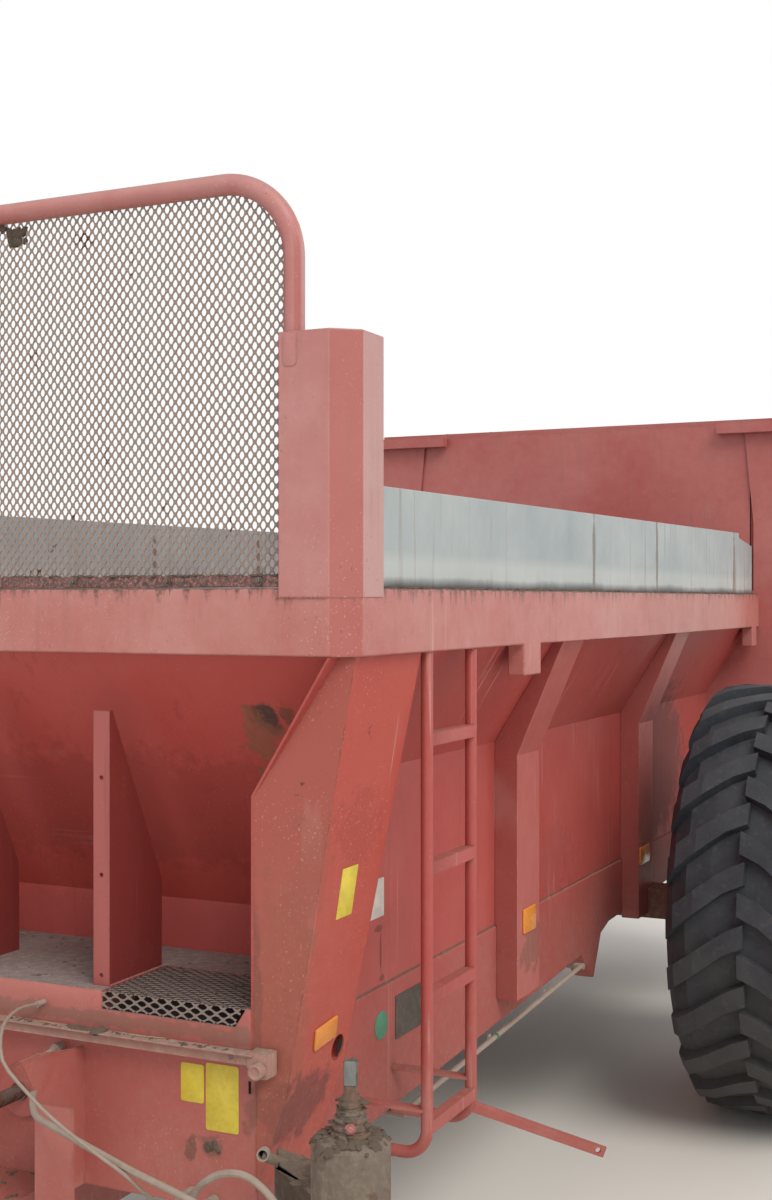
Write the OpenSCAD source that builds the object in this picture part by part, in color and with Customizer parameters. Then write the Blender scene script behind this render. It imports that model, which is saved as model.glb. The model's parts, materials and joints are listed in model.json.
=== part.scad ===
// Single-axle manure spreader with vertical beaters and a narrow, flared body.
// X runs forwards to the drawbar, Y to the left, Z up from the ground. Sizes are in millimetres.

/* [Body] */
// Length of the body from the front rim face to the rear bulkhead
box_l = 4200; // [3800:10:4600]
// Height of the rim's top edge above the ground
rim_top = 1950; // [1900:5:2000]
// Height of the rim's folded edge
rim_h = 150; // [120:5:170]
// Depth of the rim's box section, measured level
rim_depth = 62; // [50:1:70]
// Half the width over the rim
rim_half_w = 875; // [860:5:890]
// Cut across the rim's front corners, along X
rim_cut_x = 48; // [40:1:60]
// Cut across the rim's front corners, along Y
rim_cut_y = 59; // [50:1:60]
// Half the width over the upright part of the side walls
low_half_w = 630; // [610:5:640]
// Height of the fold where the side walls start to flare
fold_z = 1490; // [1450:5:1520]
// Top face of the floor plate
floor_z = 930; // [920:1:940]
// Thickness of the body sheets
sheet_t = 6; // [5:0.5:8]

/* [Front recess and step] */
// Distance of the recess's back wall behind the front rim face
recess_d = 445; // [420:5:470]
// Height at which the front wall starts to slope forwards
recess_fold_z = 1150; // [1120:5:1180]
// Top face of the step platform
step_z = 1020; // [1015:1:1030]
// Middle of each web's flange from the middle plane
web_y = 200; // [195:1:205]
// Thickness of each web plate
web_t = 8; // [6:1:10]
// Width of the flange on the front of each web
web_flange_w = 46; // [36:1:48]
// Distance of each web's rear edge behind the front rim face
web_d = 328; // [300:1:350]
// Top of the web flange
web_top_z = 1665; // [1640:5:1680]
// Inner edge of the mesh tread
tread_y0 = 225; // [215:1:235]
// Outer edge of the mesh tread
tread_y1 = 608; // [580:1:612]
// Depth of the mesh tread from the platform's front edge
tread_d = 270; // [240:1:290]
// Height of the tread's folded front lip
tread_lip = 43; // [35:1:48]

/* [Rim guard and boards] */
// Height of the front corner posts above the rim
post_h = 560; // [500:5:600]
// Length of a corner post along X
post_l = 171; // [150:1:180]
// Inner face of the corner posts
post_y0 = 690; // [680:1:700]
// Outer radius of the guard hoop's tube
hoop_r = 24; // [20:1:26]
// Middle of the hoop's top tube above the rim
hoop_rise = 906; // [880:1:940]
// Bend radius of the hoop's tube
hoop_bend = 180; // [150:5:200]
// Thickness of the side boards
board_t = 22; // [18:1:27]
// Height of the side boards at the front
board_h0 = 232; // [210:1:250]
// Height of the side boards at the rear
board_h1 = 272; // [250:1:290]
// Length of the short board that follows at the rear
short_board_l = 280; // [200:5:400]

/* [Side ribs and ladder] */
// Width of a side rib along X
rib_w = 200; // [160:5:220]
// Outer face of the side ribs
rib_y = 705; // [695:1:715]
// Lower end of the side ribs
rib_bottom = 700; // [690:5:720]
// Front rib's middle behind the front rim face
rib_x1 = 1565; // [1540:5:1590]
// Rear rib's middle behind the front rim face
rib_x2 = 2900; // [2860:5:2930]
// Radius of the ladder's tubes
ladder_r = 15; // [12:1:17]
// Front upright of the ladder behind the front rim face
ladder_x = 438; // [430:1:446]
// Distance between the ladder's uprights
ladder_w = 280; // [260:1:300]
// Height of the lowest rung
rung_z = 660; // [650:1:670]
// Distance between rungs
rung_pitch = 310; // [300:1:315]

/* [Chassis] */
// Width of a chassis rail
rail_w = 76; // [60:1:80]
// Lower edge of the rails at the front
rail_front_z = 565; // [555:1:575]
// Side of the square axle beam
axle_side = 120; // [110:1:124]
// Height of the axle beam's middle
axle_beam_z = 740; // [738:1:742]
// Axle behind the front rim face
axle_x = 2990; // [2940:5:3040]
// Width of the drawbar
drawbar_w = 200; // [180:2:220]
// Height of the drawbar's section
drawbar_h = 140; // [120:2:150]
// Middle of the tow eye in front of the front rim face
eye_x = 1750; // [1650:10:1900]
// Radius of the hole in the tow eye
eye_bore_r = 25; // [20:0.5:30]
// Thickness of the tow eye's ring
eye_t = 40; // [30:1:50]

/* [Wheels] */
// Outer radius of a tyre over its lugs
tyre_r = 800; // [780:5:802]
// Width of a tyre
tyre_w = 580; // [540:5:590]
// Middle of a tyre from the middle plane
tyre_y = 1220; // [1215:1:1230]
// Height of the lugs
lug_h = 38; // [30:1:42]
// Number of lugs on each half of a tyre
lug_n = 24; // [20:1:25]
// Radius of the rim's bead seat
bead_r = 335; // [330:1:340]
// Radius of the wheel spindle
spindle_r = 40; // [35:1:45]

/* [Parking jack] */
// Jack's middle in front of the front rim face
jack_x = 130; // [120:1:140]
// Jack's middle from the middle plane
jack_y = 935; // [925:1:945]
// Outer radius of the jack's cylinder
jack_r = 82; // [78:1:86]
// Radius of the jack's leg
jack_leg_r = 55; // [50:1:60]
// Top of the jack's cylinder
jack_top_z = 820; // [800:5:840]

/* [Rear frame, door and beaters] */
// Half the width over the rear side plates
frame_half_w = 1080; // [1075:1:1100]
// Top edge of the rear bulkhead and door
frame_top = 2740; // [2700:5:2780]
// Thickness of the door
door_t = 20; // [16:1:20]
// How far the door laps the body's mouth on each side
door_lap = 27; // [20:1:33]
// Lower edge of the closed door
door_z = 985; // [980:1:995]
// Distance of the beaters behind the rear bulkhead
beater_gap = 700; // [680:5:730]
// Distance of each beater from the middle plane
beater_y = 520; // [515:1:525]
// Radius of a beater's middle tube
beater_core_r = 85; // [75:1:95]
// Radius of a beater's flights
flight_r = 430; // [410:5:435]
// Distance that a flight climbs in one turn
flight_pitch = 460; // [420:10:500]
// Length of the knives on the flights' edges
knife_l = 25; // [15:1:28]
// Radius of the throwing disc under a beater
disc_r = 475; // [460:1:480]
// Height of the paddles on a throwing disc
paddle_h = 110; // [80:5:130]

/* [Hidden] */

// Small gap between pieces that turn or slide on each other at a journal or rod
fit = 0.05;
// Gap between pieces that only lie side by side
seat_gap = 0.3;
// Running gap between pieces that move past each other
run_gap = 5.5;

// The origin lies midway between the tow eye's front and the throwing discs' back edge
beater_x = box_l + beater_gap;
eye_ring_r = 55;
rear_beam_half = 60;
side_plate_end = beater_x + rear_beam_half;
body_x = (beater_x + disc_r - eye_x - eye_ring_r) / 2;

// Heights that follow from the driving sizes
rim_bot = rim_top - rim_h;
rail_top = floor_z - sheet_t;
flare_y = rim_half_w - rim_depth + 8;
flare_in = flare_y - sheet_t - 1;
mouth_y = rim_half_w - 70;
mouth_flare = 45;
door_half_w = mouth_y + door_lap;
wall_in = low_half_w - sheet_t;
rail_y = low_half_w + 6;
wheel_z = tyre_r;

red = [0.62, 0.26, 0.23];
dark_red = [0.45, 0.17, 0.15];
pale_red = [0.70, 0.42, 0.39];
grime = [0.40, 0.36, 0.33];
steel = [0.45, 0.45, 0.45];
board_grey = [0.70, 0.74, 0.74];
black = [0.10, 0.10, 0.10];

// The body frame: the front rim face lies at X = 0 in the modules below
module at_body() { translate([body_x, 0, 0]) children(); }

// A profile in Y and Z, drawn out along X
module along_x(x0, x1) { translate([x0, 0, 0]) rotate([90, 0, 90]) linear_extrude(x1 - x0) children(); }

// A profile in X and Z, drawn out along Y
module along_y(y0, y1) { translate([0, y1, 0]) rotate([90, 0, 0]) linear_extrude(y1 - y0) children(); }

// A copy on each side of the middle plane
module both_sides() {
  children();
  mirror([0, 1, 0]) children();
}

// A box given by its two corners
module block(a, b) { translate(a) cube([b[0] - a[0], b[1] - a[1], b[2] - a[2]]); }

// A round bar between two heights
module upright(x, y, z0, z1, r) { translate([x, y, z0]) cylinder(h = z1 - z0, r = r, $fn = 48); }

// A round bar along Y
module crosswise(x, z, y0, y1, r) {
  translate([x, y1, z]) rotate([90, 0, 0]) cylinder(h = y1 - y0, r = r, $fn = 48);
}

// A smooth curve through a route's points, with a number of steps between each two
function between(a, b, c, d, t) =
  0.5 * (2 * b + (c - a) * t + (2 * a - 5 * b + 4 * c - d) * t * t + (3 * b - a - 3 * c + d) * t * t * t);
function smooth_route(p, steps) =
  concat([for (i = [0:len(p) - 2]) for (k = [0:steps - 1])
            between(p[max(i - 1, 0)], p[i], p[i + 1], p[min(i + 2, len(p) - 1)], k / steps)],
         [p[len(p) - 1]]);
function unit(v) = v / norm(v);

// A round hose along a route, with hose_sides corners in each ring
hose_sides = 8;

module hose(route, r) {
  p = smooth_route(route, 3);
  last = len(p) - 1;
  rings = [for (i = [0:last])
             let (t = unit(p[min(i + 1, last)] - p[max(i - 1, 0)]))
             let (n = unit(cross(t, [0, 0, 1])), b = cross(t, n))
             for (k = [0:hose_sides - 1])
               p[i] + r * (cos(k * 360 / hose_sides) * n + sin(k * 360 / hose_sides) * b)];
  walls = [for (i = [0:last - 1]) for (k = [0:hose_sides - 1]) for (half = [0, 1])
             let (k2 = (k + 1) % hose_sides, a = hose_sides * i + k, b = hose_sides * i + k2)
             half == 0 ? [a, a + hose_sides, b + hose_sides] : [a, b + hose_sides, b]];
  front = [for (k = [1:hose_sides - 2]) [0, k, k + 1]];
  end = hose_sides * last;
  back = [for (k = [1:hose_sides - 2]) [end, end + k + 1, end + k]];
  polyhedron(points = rings, faces = concat(walls, front, back), convexity = 10);
}

// Outline of the sheet that makes one side wall
module side_sheet() {
  polygon([[wall_in, floor_z], [low_half_w, floor_z], [low_half_w, fold_z], [flare_y, rim_bot],
           [flare_in, rim_bot], [wall_in, fold_z + 1.5]]);
}

module side_wall() { color(red) at_body() along_x(-box_l, 0) side_sheet(); }
module side_wall_left() { side_wall(); }
module side_wall_right() { mirror([0, 1, 0]) side_wall(); }

// Outline of the free space between the side walls
module inner_space(gap) {
  polygon([[-wall_in + gap, step_z], [wall_in - gap, step_z], [wall_in - gap, fold_z + 1.5],
           [flare_in - gap, rim_bot], [-flare_in + gap, rim_bot], [-wall_in + gap, fold_z + 1.5]]);
}

// Outline of the front wall in X and Z: upright at the foot, then sloping out to the rim
module front_sheet() {
  polygon([[-recess_d, step_z], [-recess_d, recess_fold_z], [wall_top_x, rim_bot],
           [wall_top_x - 9, rim_bot], [-recess_d - sheet_t, recess_fold_z + 2], [-recess_d - sheet_t, step_z]]);
}

module front_wall() {
  color(dark_red) at_body() intersection() {
    along_y(-flare_y, flare_y) front_sheet();
    along_x(-recess_d - sheet_t, 0) inner_space(0);
  }
}

// The floor stops behind the conveyor's front shaft, and only its edges run on over the rails
floor_lead = 135;
floor_front = recess_d - floor_lead;

module floor_plate() {
  color(dark_red) at_body() {
    block([-box_l - 60, -low_half_w, rail_top], [-floor_front, low_half_w, floor_z]);
    both_sides() block([-floor_front - 1, rail_y - rail_w, rail_top], [-sheet_t, low_half_w, floor_z]);
  }
}

// Plan of the rim: two long sides and a front with its corners cut
module rim_plan() {
  difference() {
    polygon([[-box_l, -rim_half_w], [-rim_cut_x, -rim_half_w], [0, -rim_half_w + rim_cut_y],
             [0, rim_half_w - rim_cut_y], [-rim_cut_x, rim_half_w], [-box_l, rim_half_w]]);
    polygon([[-box_l - 1, -rim_half_w + rim_depth], [-rim_cut_x - 32, -rim_half_w + rim_depth],
             [-rim_depth, -rim_half_w + rim_cut_y + 28], [-rim_depth, rim_half_w - rim_cut_y - 28],
             [-rim_cut_x - 32, rim_half_w - rim_depth], [-box_l - 1, rim_half_w - rim_depth]]);
  }
}

// Stake pockets under the rim: distance behind the front rim face
pocket_x = [1060, 2200, box_l - 140];
pocket_l = 90;
pocket_h = 86;

module rim_rail() {
  color(pale_red) at_body() {
    translate([0, 0, rim_bot]) linear_extrude(rim_h) rim_plan();
    both_sides() for (x = pocket_x)
      block([-x - pocket_l, flare_y + 5, rim_bot - pocket_h], [-x, rim_half_w, rim_bot]);
  }
}

module corner_posts() {
  color(pale_red) at_body() both_sides() translate([0, 0, rim_top]) linear_extrude(post_h)
    polygon([[0, post_y0], [0, rim_half_w - rim_cut_y], [-rim_cut_x, rim_half_w],
             [-post_l + 18, rim_half_w], [-post_l, rim_half_w - 18], [-post_l, rim_half_w - 70],
             [-rim_depth, rim_half_w - 70], [-rim_depth, post_y0]]);
}

// The hoop stands on the two corner posts
hoop_x = -hoop_r - 6;
hoop_y = post_y0 + hoop_r + 2;
hoop_z = rim_top + hoop_rise;

module guard_hoop() {
  leg_top = hoop_z - hoop_bend;
  span = hoop_y - hoop_bend;
  color(pale_red) at_body() {
    both_sides() {
      upright(hoop_x, hoop_y, rim_top + post_h, leg_top, hoop_r);
      translate([hoop_x, span, leg_top]) rotate([0, -90, 0])
        rotate_extrude(angle = 90, $fn = 64) translate([hoop_bend, 0]) circle(r = hoop_r, $fn = 32);
    }
    crosswise(hoop_x, hoop_z, -span, span, hoop_r);
  }
}

// Diamond mesh: a sheet with rows of diamond holes
mesh_t = 4;
cell_y = 75;
cell_z = 110;
strand = 11;

module mesh_outline(inset) {
  half = post_y0 - seat_gap - inset;
  top = hoop_z - hoop_r - seat_gap - inset;
  corner = hoop_bend - hoop_r;
  hull() {
    translate([-half, rim_top + inset]) square([2 * half, 10]);
    translate([-half + corner, top - corner]) circle(r = corner, $fn = 48);
    translate([half - corner, top - corner]) circle(r = corner, $fn = 48);
  }
}

module diamond(y, z, w, h) { translate([y, z]) polygon([[-w / 2, 0], [0, -h / 2], [w / 2, 0], [0, h / 2]]); }

module guard_mesh() {
  rows = floor((hoop_rise - hoop_r) / (cell_z / 2));
  cols = floor(2 * post_y0 / cell_y);
  color(grime) at_body() along_x(hoop_x - mesh_t / 2, hoop_x + mesh_t / 2) difference() {
    mesh_outline(0);
    intersection() {
      mesh_outline(14);
      for (i = [0:rows]) for (j = [0:cols])
        diamond(-post_y0 + (j + (i % 2) / 2) * cell_y, rim_top + 20 + i * cell_z / 2,
                cell_y - strand, cell_z - strand * 1.4);
    }
  }
}

// The boards stand on the rim behind the corner posts
board_y = rim_half_w - rim_depth + 12;

board_gap = 12;
board_end = box_l - short_board_l - board_gap;

module side_boards() {
  color(board_grey) at_body() both_sides() {
    along_y(board_y, board_y + board_t)
      polygon([[-post_l - 3, rim_top], [-post_l - 3, rim_top + board_h0],
               [-board_end, rim_top + board_h1], [-board_end, rim_top]]);
    along_y(board_y - 6, board_y + board_t - 4)
      polygon([[-board_end - board_gap, rim_top], [-board_end - board_gap, rim_top + board_h1 - 20],
               [-box_l + seat_gap, rim_top + board_h1 - 50], [-box_l + seat_gap, rim_top]]);
  }
}

// A cheek closes the corner between the recess edge and the side wall. Its flat front strip
// slopes back as it goes outwards, and below its lower fold it turns in to the chassis rail.
cheek_x = 50;
cheek_top_y = 857;
cheek_low_y = 705;
cheek_low_z = 835;
cheek_nose_y = 650;
cheek_nose_z = 775;
cheek_foot_z = 620;
cheek_rear_top = 402;
cheek_rear_low = 291;
cheek_hole_r = 30;
function strip_x(y) = -cheek_x * (y - low_half_w) / (cheek_top_y - low_half_w);

// A thin level slice of the cheek: front corner, outer front corner, rear end
module cheek_slice(z, y_front, y_out, rear) {
  translate([0, 0, z]) linear_extrude(0.1)
    polygon([[strip_x(y_front), y_front], [strip_x(y_out), y_out], [-rear, y_out], [-rear, y_front]]);
}

module corner_cheeks() {
  color(red) at_body() both_sides() difference() {
    hull() {
      cheek_slice(rim_bot - 0.1, low_half_w, cheek_top_y, cheek_rear_top);
      cheek_slice(cheek_low_z, low_half_w, cheek_low_y, cheek_rear_low);
      cheek_slice(cheek_nose_z, low_half_w, cheek_nose_y, cheek_rear_low);
      cheek_slice(cheek_foot_z, rail_y, rail_y + 1, cheek_rear_low - 30);
    }
    along_x(-box_l, 10) polygon([[0, 0], [rail_y, 0], [rail_y, floor_z], [low_half_w, floor_z],
                                 [low_half_w, fold_z], [flare_y, rim_bot], [flare_y, rim_top], [0, rim_top]]);
    translate([-cheek_rear_low + cheek_hole_r + 16, low_half_w + 20, cheek_low_z + cheek_hole_r + 20])
      rotate([-90, 0, 0]) cylinder(h = 120, r = cheek_hole_r, $fn = 40);
  }
}

// Outline of one rib against the side wall
module rib_outline(bottom) {
  polygon([[rib_y, bottom], [rib_y, fold_z - 40], [rim_half_w - 22, rim_bot], [flare_y, rim_bot],
           [low_half_w, fold_z], [low_half_w, rail_top], [rail_y, rail_top], [rail_y, bottom]]);
}

module axle_passage(grow) {
  a = axle_side / 2 + grow;
  translate([-axle_x, 0, axle_beam_z]) cube([2 * a, 2 * tyre_y, 2 * a], center = true);
}

module side_ribs() {
  color(red) at_body() both_sides() difference() {
    for (x = [rib_x1, rib_x2]) along_x(-x - rib_w / 2, -x + rib_w / 2) rib_outline(rib_bottom);
    axle_passage(0);
  }
}

// X of the front wall's outer face at a height above its fold
wall_top_x = -rim_depth + sheet_t + 8;
function wall_x(z) = -recess_d + (wall_top_x + recess_d) * (z - recess_fold_z) / (rim_bot - recess_fold_z);

function wall_z(x) = recess_fold_z + (recess_d - x) * (rim_bot - recess_fold_z) / (wall_top_x + recess_d);

// Webs stand in the recess between the platform and the sloping front wall, open behind their feet
web_front = 40;
web_flange_t = 6;
web_hole_z = [1045, 1280, 1508];
web_hole_r = 5;

module front_webs() {
  color(red) at_body() both_sides() {
    along_y(web_y + web_flange_w / 2 - web_t, web_y + web_flange_w / 2)
      polygon([[-web_front, step_z], [-web_front, web_top_z], [wall_x(web_top_z), web_top_z],
               [-web_d, wall_z(web_d)], [-web_d, step_z]]);
    difference() {
      block([-web_front, web_y - web_flange_w / 2, step_z],
            [-web_front + web_flange_t, web_y + web_flange_w / 2, web_top_z]);
      for (z = web_hole_z) translate([-web_front - 1, web_y, z]) rotate([0, 90, 0])
        cylinder(h = web_flange_t + 2, r = web_hole_r, $fn = 24);
    }
  }
}

// Outline in Y and Z of the opening in the platform's front face, slanting up at its outer end
module lip_outline(gap) {
  low = step_z - tread_lip + gap;
  polygon([[tread_y0 + gap, step_z + 1 - gap], [tread_y0 + gap, low], [tread_y1 - 25 - gap, low],
           [tread_y1 - gap, step_z - 5], [tread_y1 - gap, step_z + 1 - gap]]);
}

// The platform is a folded plate: a flat top and a front face, with an opening for the tread
module step_platform() {
  color(grime) at_body() difference() {
    along_y(-wall_in, wall_in)
      polygon([[0, step_z], [0, floor_z], [-sheet_t, floor_z],
               [-sheet_t, step_z - sheet_t], [-recess_d - sheet_t, step_z - sheet_t],
               [-recess_d - sheet_t, step_z]]);
    block([-tread_d, tread_y0, step_z - 40], [-sheet_t, tread_y1, step_z + 1]);
    along_x(-sheet_t - 1, 1) lip_outline(0);
  }
}

// The tread is expanded metal: a top sheet and a folded lip, each with rows of diamond holes
tread_t = 3;
tread_cell_x = 36;
tread_cell_y = 46;
tread_strand = 9;

module tread_diamonds(rows, cols) {
  for (i = [0:rows - 1]) for (j = [0:cols - 1])
    translate([(j + 0.75 + (i % 2) / 2) * tread_cell_y, (i + 1) * tread_cell_x / 2])
      polygon([[-tread_cell_y / 2 + tread_strand, 0], [0, -tread_cell_x / 2 + tread_strand * 0.7],
               [tread_cell_y / 2 - tread_strand, 0], [0, tread_cell_x / 2 - tread_strand * 0.7]]);
}

module step_tread() {
  width = tread_y1 - tread_y0;
  rows = floor(2 * tread_d / tread_cell_x) - 2;
  cols = floor(width / tread_cell_y - 0.75);
  color(grime) at_body() {
    translate([0, tread_y0, step_z - tread_t]) rotate([0, 0, 90]) linear_extrude(tread_t) difference() {
      square([width, tread_d]);
      translate([0, 12]) tread_diamonds(rows, cols);
    }
    along_x(-tread_t, 0) difference() {
      intersection() {
        lip_outline(seat_gap);
        translate([tread_y0, step_z - tread_lip]) square([width, tread_lip - tread_t]);
      }
      translate([tread_y0, step_z - tread_lip + 1]) tread_diamonds(1, cols);
    }
  }
}

bar_z = 918;
bar_side = 34;
boss_r = 31;
boss_w = 55;

// A square tube across the front, with a flanged boss at each end
module cross_bar() {
  x = boss_r + seat_gap;
  color(grime) at_body() {
    block([x - bar_side / 2, -low_half_w, bar_z - bar_side / 2],
          [x + bar_side / 2, low_half_w, bar_z + bar_side / 2]);
    both_sides() {
      block([seat_gap, low_half_w, bar_z - 36], [2 * boss_r + 4, low_half_w + 10, bar_z + 34]);
      crosswise(x, bar_z, low_half_w, low_half_w + boss_w, boss_r);
      crosswise(x, bar_z, low_half_w + boss_w, low_half_w + boss_w + 7, boss_r * 0.6);
    }
  }
}

// The lower front panel closes the chassis under the platform
shaft_front_z = 760;
shaft_rear_z = 560;
shaft_r = 35;
housing_l = 60;
housing_r = 62;
housing_nose = 12;
pto_r = 17.45;
pto_journal_r = 22;
pto_journal_end = 20;
pto_end = 120;
shaft_front = housing_l + 2;
shaft_rear = beater_x - 112;
shaft_slope = atan((shaft_front_z - shaft_rear_z) / (shaft_rear - shaft_front));

// A round bar along X at the drive line's height
module lengthwise(x0, x1, r) {
  translate([x0, 0, shaft_front_z]) rotate([0, 90, 0]) cylinder(h = x1 - x0, r = r, $fn = 48);
}

gusset_y = web_y;
gusset_x = 173;
gusset_nose = 268;
gusset_z = 814;
slot_y = 617;

// The panel carries two gussets with flanges, and the housing of the input shaft
module front_panel() {
  color(red) at_body() difference() {
    union() {
      block([-sheet_t, -rail_y, rail_front_z], [0, rail_y, floor_z]);
      both_sides() {
        along_y(gusset_y, gusset_y + 8)
          polygon([[0, 885], [60, 892], [200, 925], [gusset_nose, 925], [gusset_nose - 8, 905],
                   [gusset_nose - 40, 872], [gusset_x, gusset_z], [gusset_x, rail_front_z], [0, rail_front_z]]);
        block([gusset_x - 8, gusset_y, rail_front_z], [gusset_x, gusset_y + 72, gusset_z - 12]);
      }
      lengthwise(-housing_l, housing_nose, housing_r);
    }
    lengthwise(-housing_l - 1, housing_nose + 1, pto_journal_r + fit);
    both_sides() block([-2, slot_y, 834], [1, slot_y + 7, 862]);
  }
}

// Side outline of a rail: a deep skirt at the front with a tab before the wheel, shallow behind the axle
tab_x = axle_x - 540;
tab_z = 545;
skirt_rear_x = tab_x - 150;
skirt_rear_z = 655;
tail_z = 780;
tail_top = 900;

module rail_outline() {
  polygon([[-sheet_t, rail_top], [-sheet_t, rail_front_z], [-skirt_rear_x, skirt_rear_z], [-tab_x, tab_z],
           [-tab_x - 90, 690], [-tab_x - 190, 715], [-box_l + 200, tail_z - 40], [-box_l - 250, tail_z],
           [-beater_x + rear_beam_half, tail_z], [-beater_x + rear_beam_half, tail_top],
           [-box_l - 220, tail_top], [-box_l - 220, rail_top]]);
}

module chassis_rails() {
  color(red) at_body() both_sides() difference() {
    along_y(rail_y - rail_w, rail_y) rail_outline();
    axle_passage(0);
  }
}

// Cross members between the rails, behind the front rim face
member_x = [700, 1500, 2300, box_l - 700];
member_z = 770;
member_h = 45;

module cross_members() {
  inner = rail_y - rail_w;
  color(dark_red) at_body() for (x = member_x)
    block([-x - 30, -inner, member_z], [-x + 30, inner, member_z + member_h]);
}

// Conveyor: two chains round the end shafts, carrying cross slats
conv_y = 380;
conv_front = 200;
conv_rear = box_l + 110;
conv_z = 893;
chain_r = 50;
chain_half = 10;
chain_w = 30;
slat_pitch = 330;
slat_half = rail_y - rail_w - 20;
slat_n = floor((conv_rear - conv_front) / slat_pitch);

module chain_loop(outer) {
  hull() {
    translate([-conv_front, conv_z]) circle(r = outer, $fn = 48);
    translate([-conv_rear, conv_z]) circle(r = outer, $fn = 48);
  }
}

module floor_conveyor() {
  color(steel) at_body() {
    both_sides() along_y(conv_y - chain_w / 2, conv_y + chain_w / 2) difference() {
      chain_loop(chain_r + chain_half);
      chain_loop(chain_r - chain_half + seat_gap);
    }
    for (i = [0:slat_n - 1]) {
      x = -conv_front - 90 - i * slat_pitch;
      for (z = [chain_r + chain_half - 4, -chain_r - chain_half - 12])
        block([x - 30, -slat_half, conv_z + z], [x, slat_half, conv_z + z + 16]);
    }
  }
}

module conveyor_shafts() {
  inner = rail_y - rail_w;
  color(steel) at_body() for (x = [conv_front, conv_rear]) {
    crosswise(-x, conv_z, -inner, inner, 22);
    both_sides() crosswise(-x, conv_z, conv_y - 12, conv_y + 12, chain_r - chain_half);
  }
}

// Drawbar under the chassis and the tow eye on its front
drawbar_top = rail_front_z;
eye_z = drawbar_top - drawbar_h / 2;

drawbar_rear = member_x[0] + 200;
drawbar_front = eye_x - 190;
taper_x = 350;
front_w = 140;

// The drawbar narrows towards the eye, and its lower edge rises a little
module drawbar() {
  color(red) at_body() {
    intersection() {
      translate([0, 0, drawbar_top - drawbar_h]) linear_extrude(drawbar_h)
        polygon([[-drawbar_rear, -drawbar_w / 2], [taper_x, -drawbar_w / 2], [drawbar_front, -front_w / 2],
                 [drawbar_front, front_w / 2], [taper_x, drawbar_w / 2], [-drawbar_rear, drawbar_w / 2]]);
      along_y(-drawbar_w, drawbar_w)
        polygon([[-drawbar_rear, drawbar_top], [drawbar_front, drawbar_top], [drawbar_front, eye_z - 60],
                 [taper_x, drawbar_top - drawbar_h], [-drawbar_rear + 200, drawbar_top - drawbar_h],
                 [-drawbar_rear, drawbar_top - drawbar_h + 50]]);
    }
    both_sides() block([-member_x[0] - 25, 55, drawbar_top], [-member_x[0] + 25, 95, member_z]);
  }
}

module tow_eye() {
  color(steel) at_body() difference() {
    union() {
      translate([eye_x, 0, eye_z - eye_t / 2]) cylinder(h = eye_t, r = eye_ring_r, $fn = 64);
      block([eye_x - 170, -35, eye_z - eye_t / 2], [eye_x - 20, 35, eye_z + eye_t / 2]);
      block([drawbar_front, -front_w / 2, eye_z - 60], [eye_x - 170, front_w / 2, eye_z + 60]);
    }
    translate([eye_x, 0, eye_z - eye_t]) cylinder(h = 2 * eye_t, r = eye_bore_r, $fn = 64);
  }
}

jack_bottom_z = 330;
jack_bore_top = jack_top_z - 40;
jack_travel = 300;
jack_foot_r = 110;
neck_z = jack_top_z + 14;
neck_rings = 5;
ring_pitch = 15;
bracket_z0 = 600;
bracket_z1 = 725;
bracket_t = 12;

// Outline of the jack's cap and ribbed neck, radius and height
module neck_section() {
  polygon(concat([[0, jack_top_z - 2], [jack_r, jack_top_z - 2], [jack_r - 12, jack_top_z + 10], [50, neck_z]],
                 [for (i = [0:neck_rings - 1]) for (c = [[4, 0], [4, 8], [-2, 9], [-3, ring_pitch]])
                    [38 - 4 * i + c[0], neck_z + i * ring_pitch + c[1]]],
                 [[15, neck_z + neck_rings * ring_pitch + 5], [15, jack_top_z + 165], [0, jack_top_z + 165]]));
}

// Plan of the bracket between the chassis and the jack
module bracket_plan() {
  polygon([[0, rail_y - 70], [90, rail_y - 15], [jack_x + 45, jack_y - 60], [jack_x - 60, jack_y - 30],
           [0, rail_y + 70]]);
}

module jack_cylinder() {
  color(grime) at_body() difference() {
    union() {
      upright(jack_x, jack_y, jack_bottom_z, jack_top_z - 2, jack_r);
      translate([jack_x, jack_y, 0]) rotate_extrude($fn = 48) neck_section();
      for (z = [bracket_z0, bracket_z1 - bracket_t])
        translate([0, 0, z]) linear_extrude(bracket_t) bracket_plan();
      translate([0, 0, bracket_z0]) linear_extrude(bracket_z1 - bracket_z0)
        polygon([[0, rail_y - 10], [12, rail_y - 18], [jack_x - 20, jack_y - 60], [jack_x - 40, jack_y - 50]]);
      translate([59, rail_y + 100, bracket_z1 + 12]) rotate([90, 0, 51.5]) difference() {
        cylinder(h = 105, r = 14, $fn = 32, center = true);
        translate([0, 0, 20]) cylinder(h = 40, r = 10, $fn = 32);
      }
    }
    upright(jack_x, jack_y, jack_bottom_z - 1, jack_bore_top, jack_leg_r + fit);
  }
}

module jack_leg() {
  color(steel) at_body() {
    upright(jack_x, jack_y, 12, jack_bore_top - jack_travel - 5, jack_leg_r);
    upright(jack_x, jack_y, 0, 12, jack_foot_r);
  }
}

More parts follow.
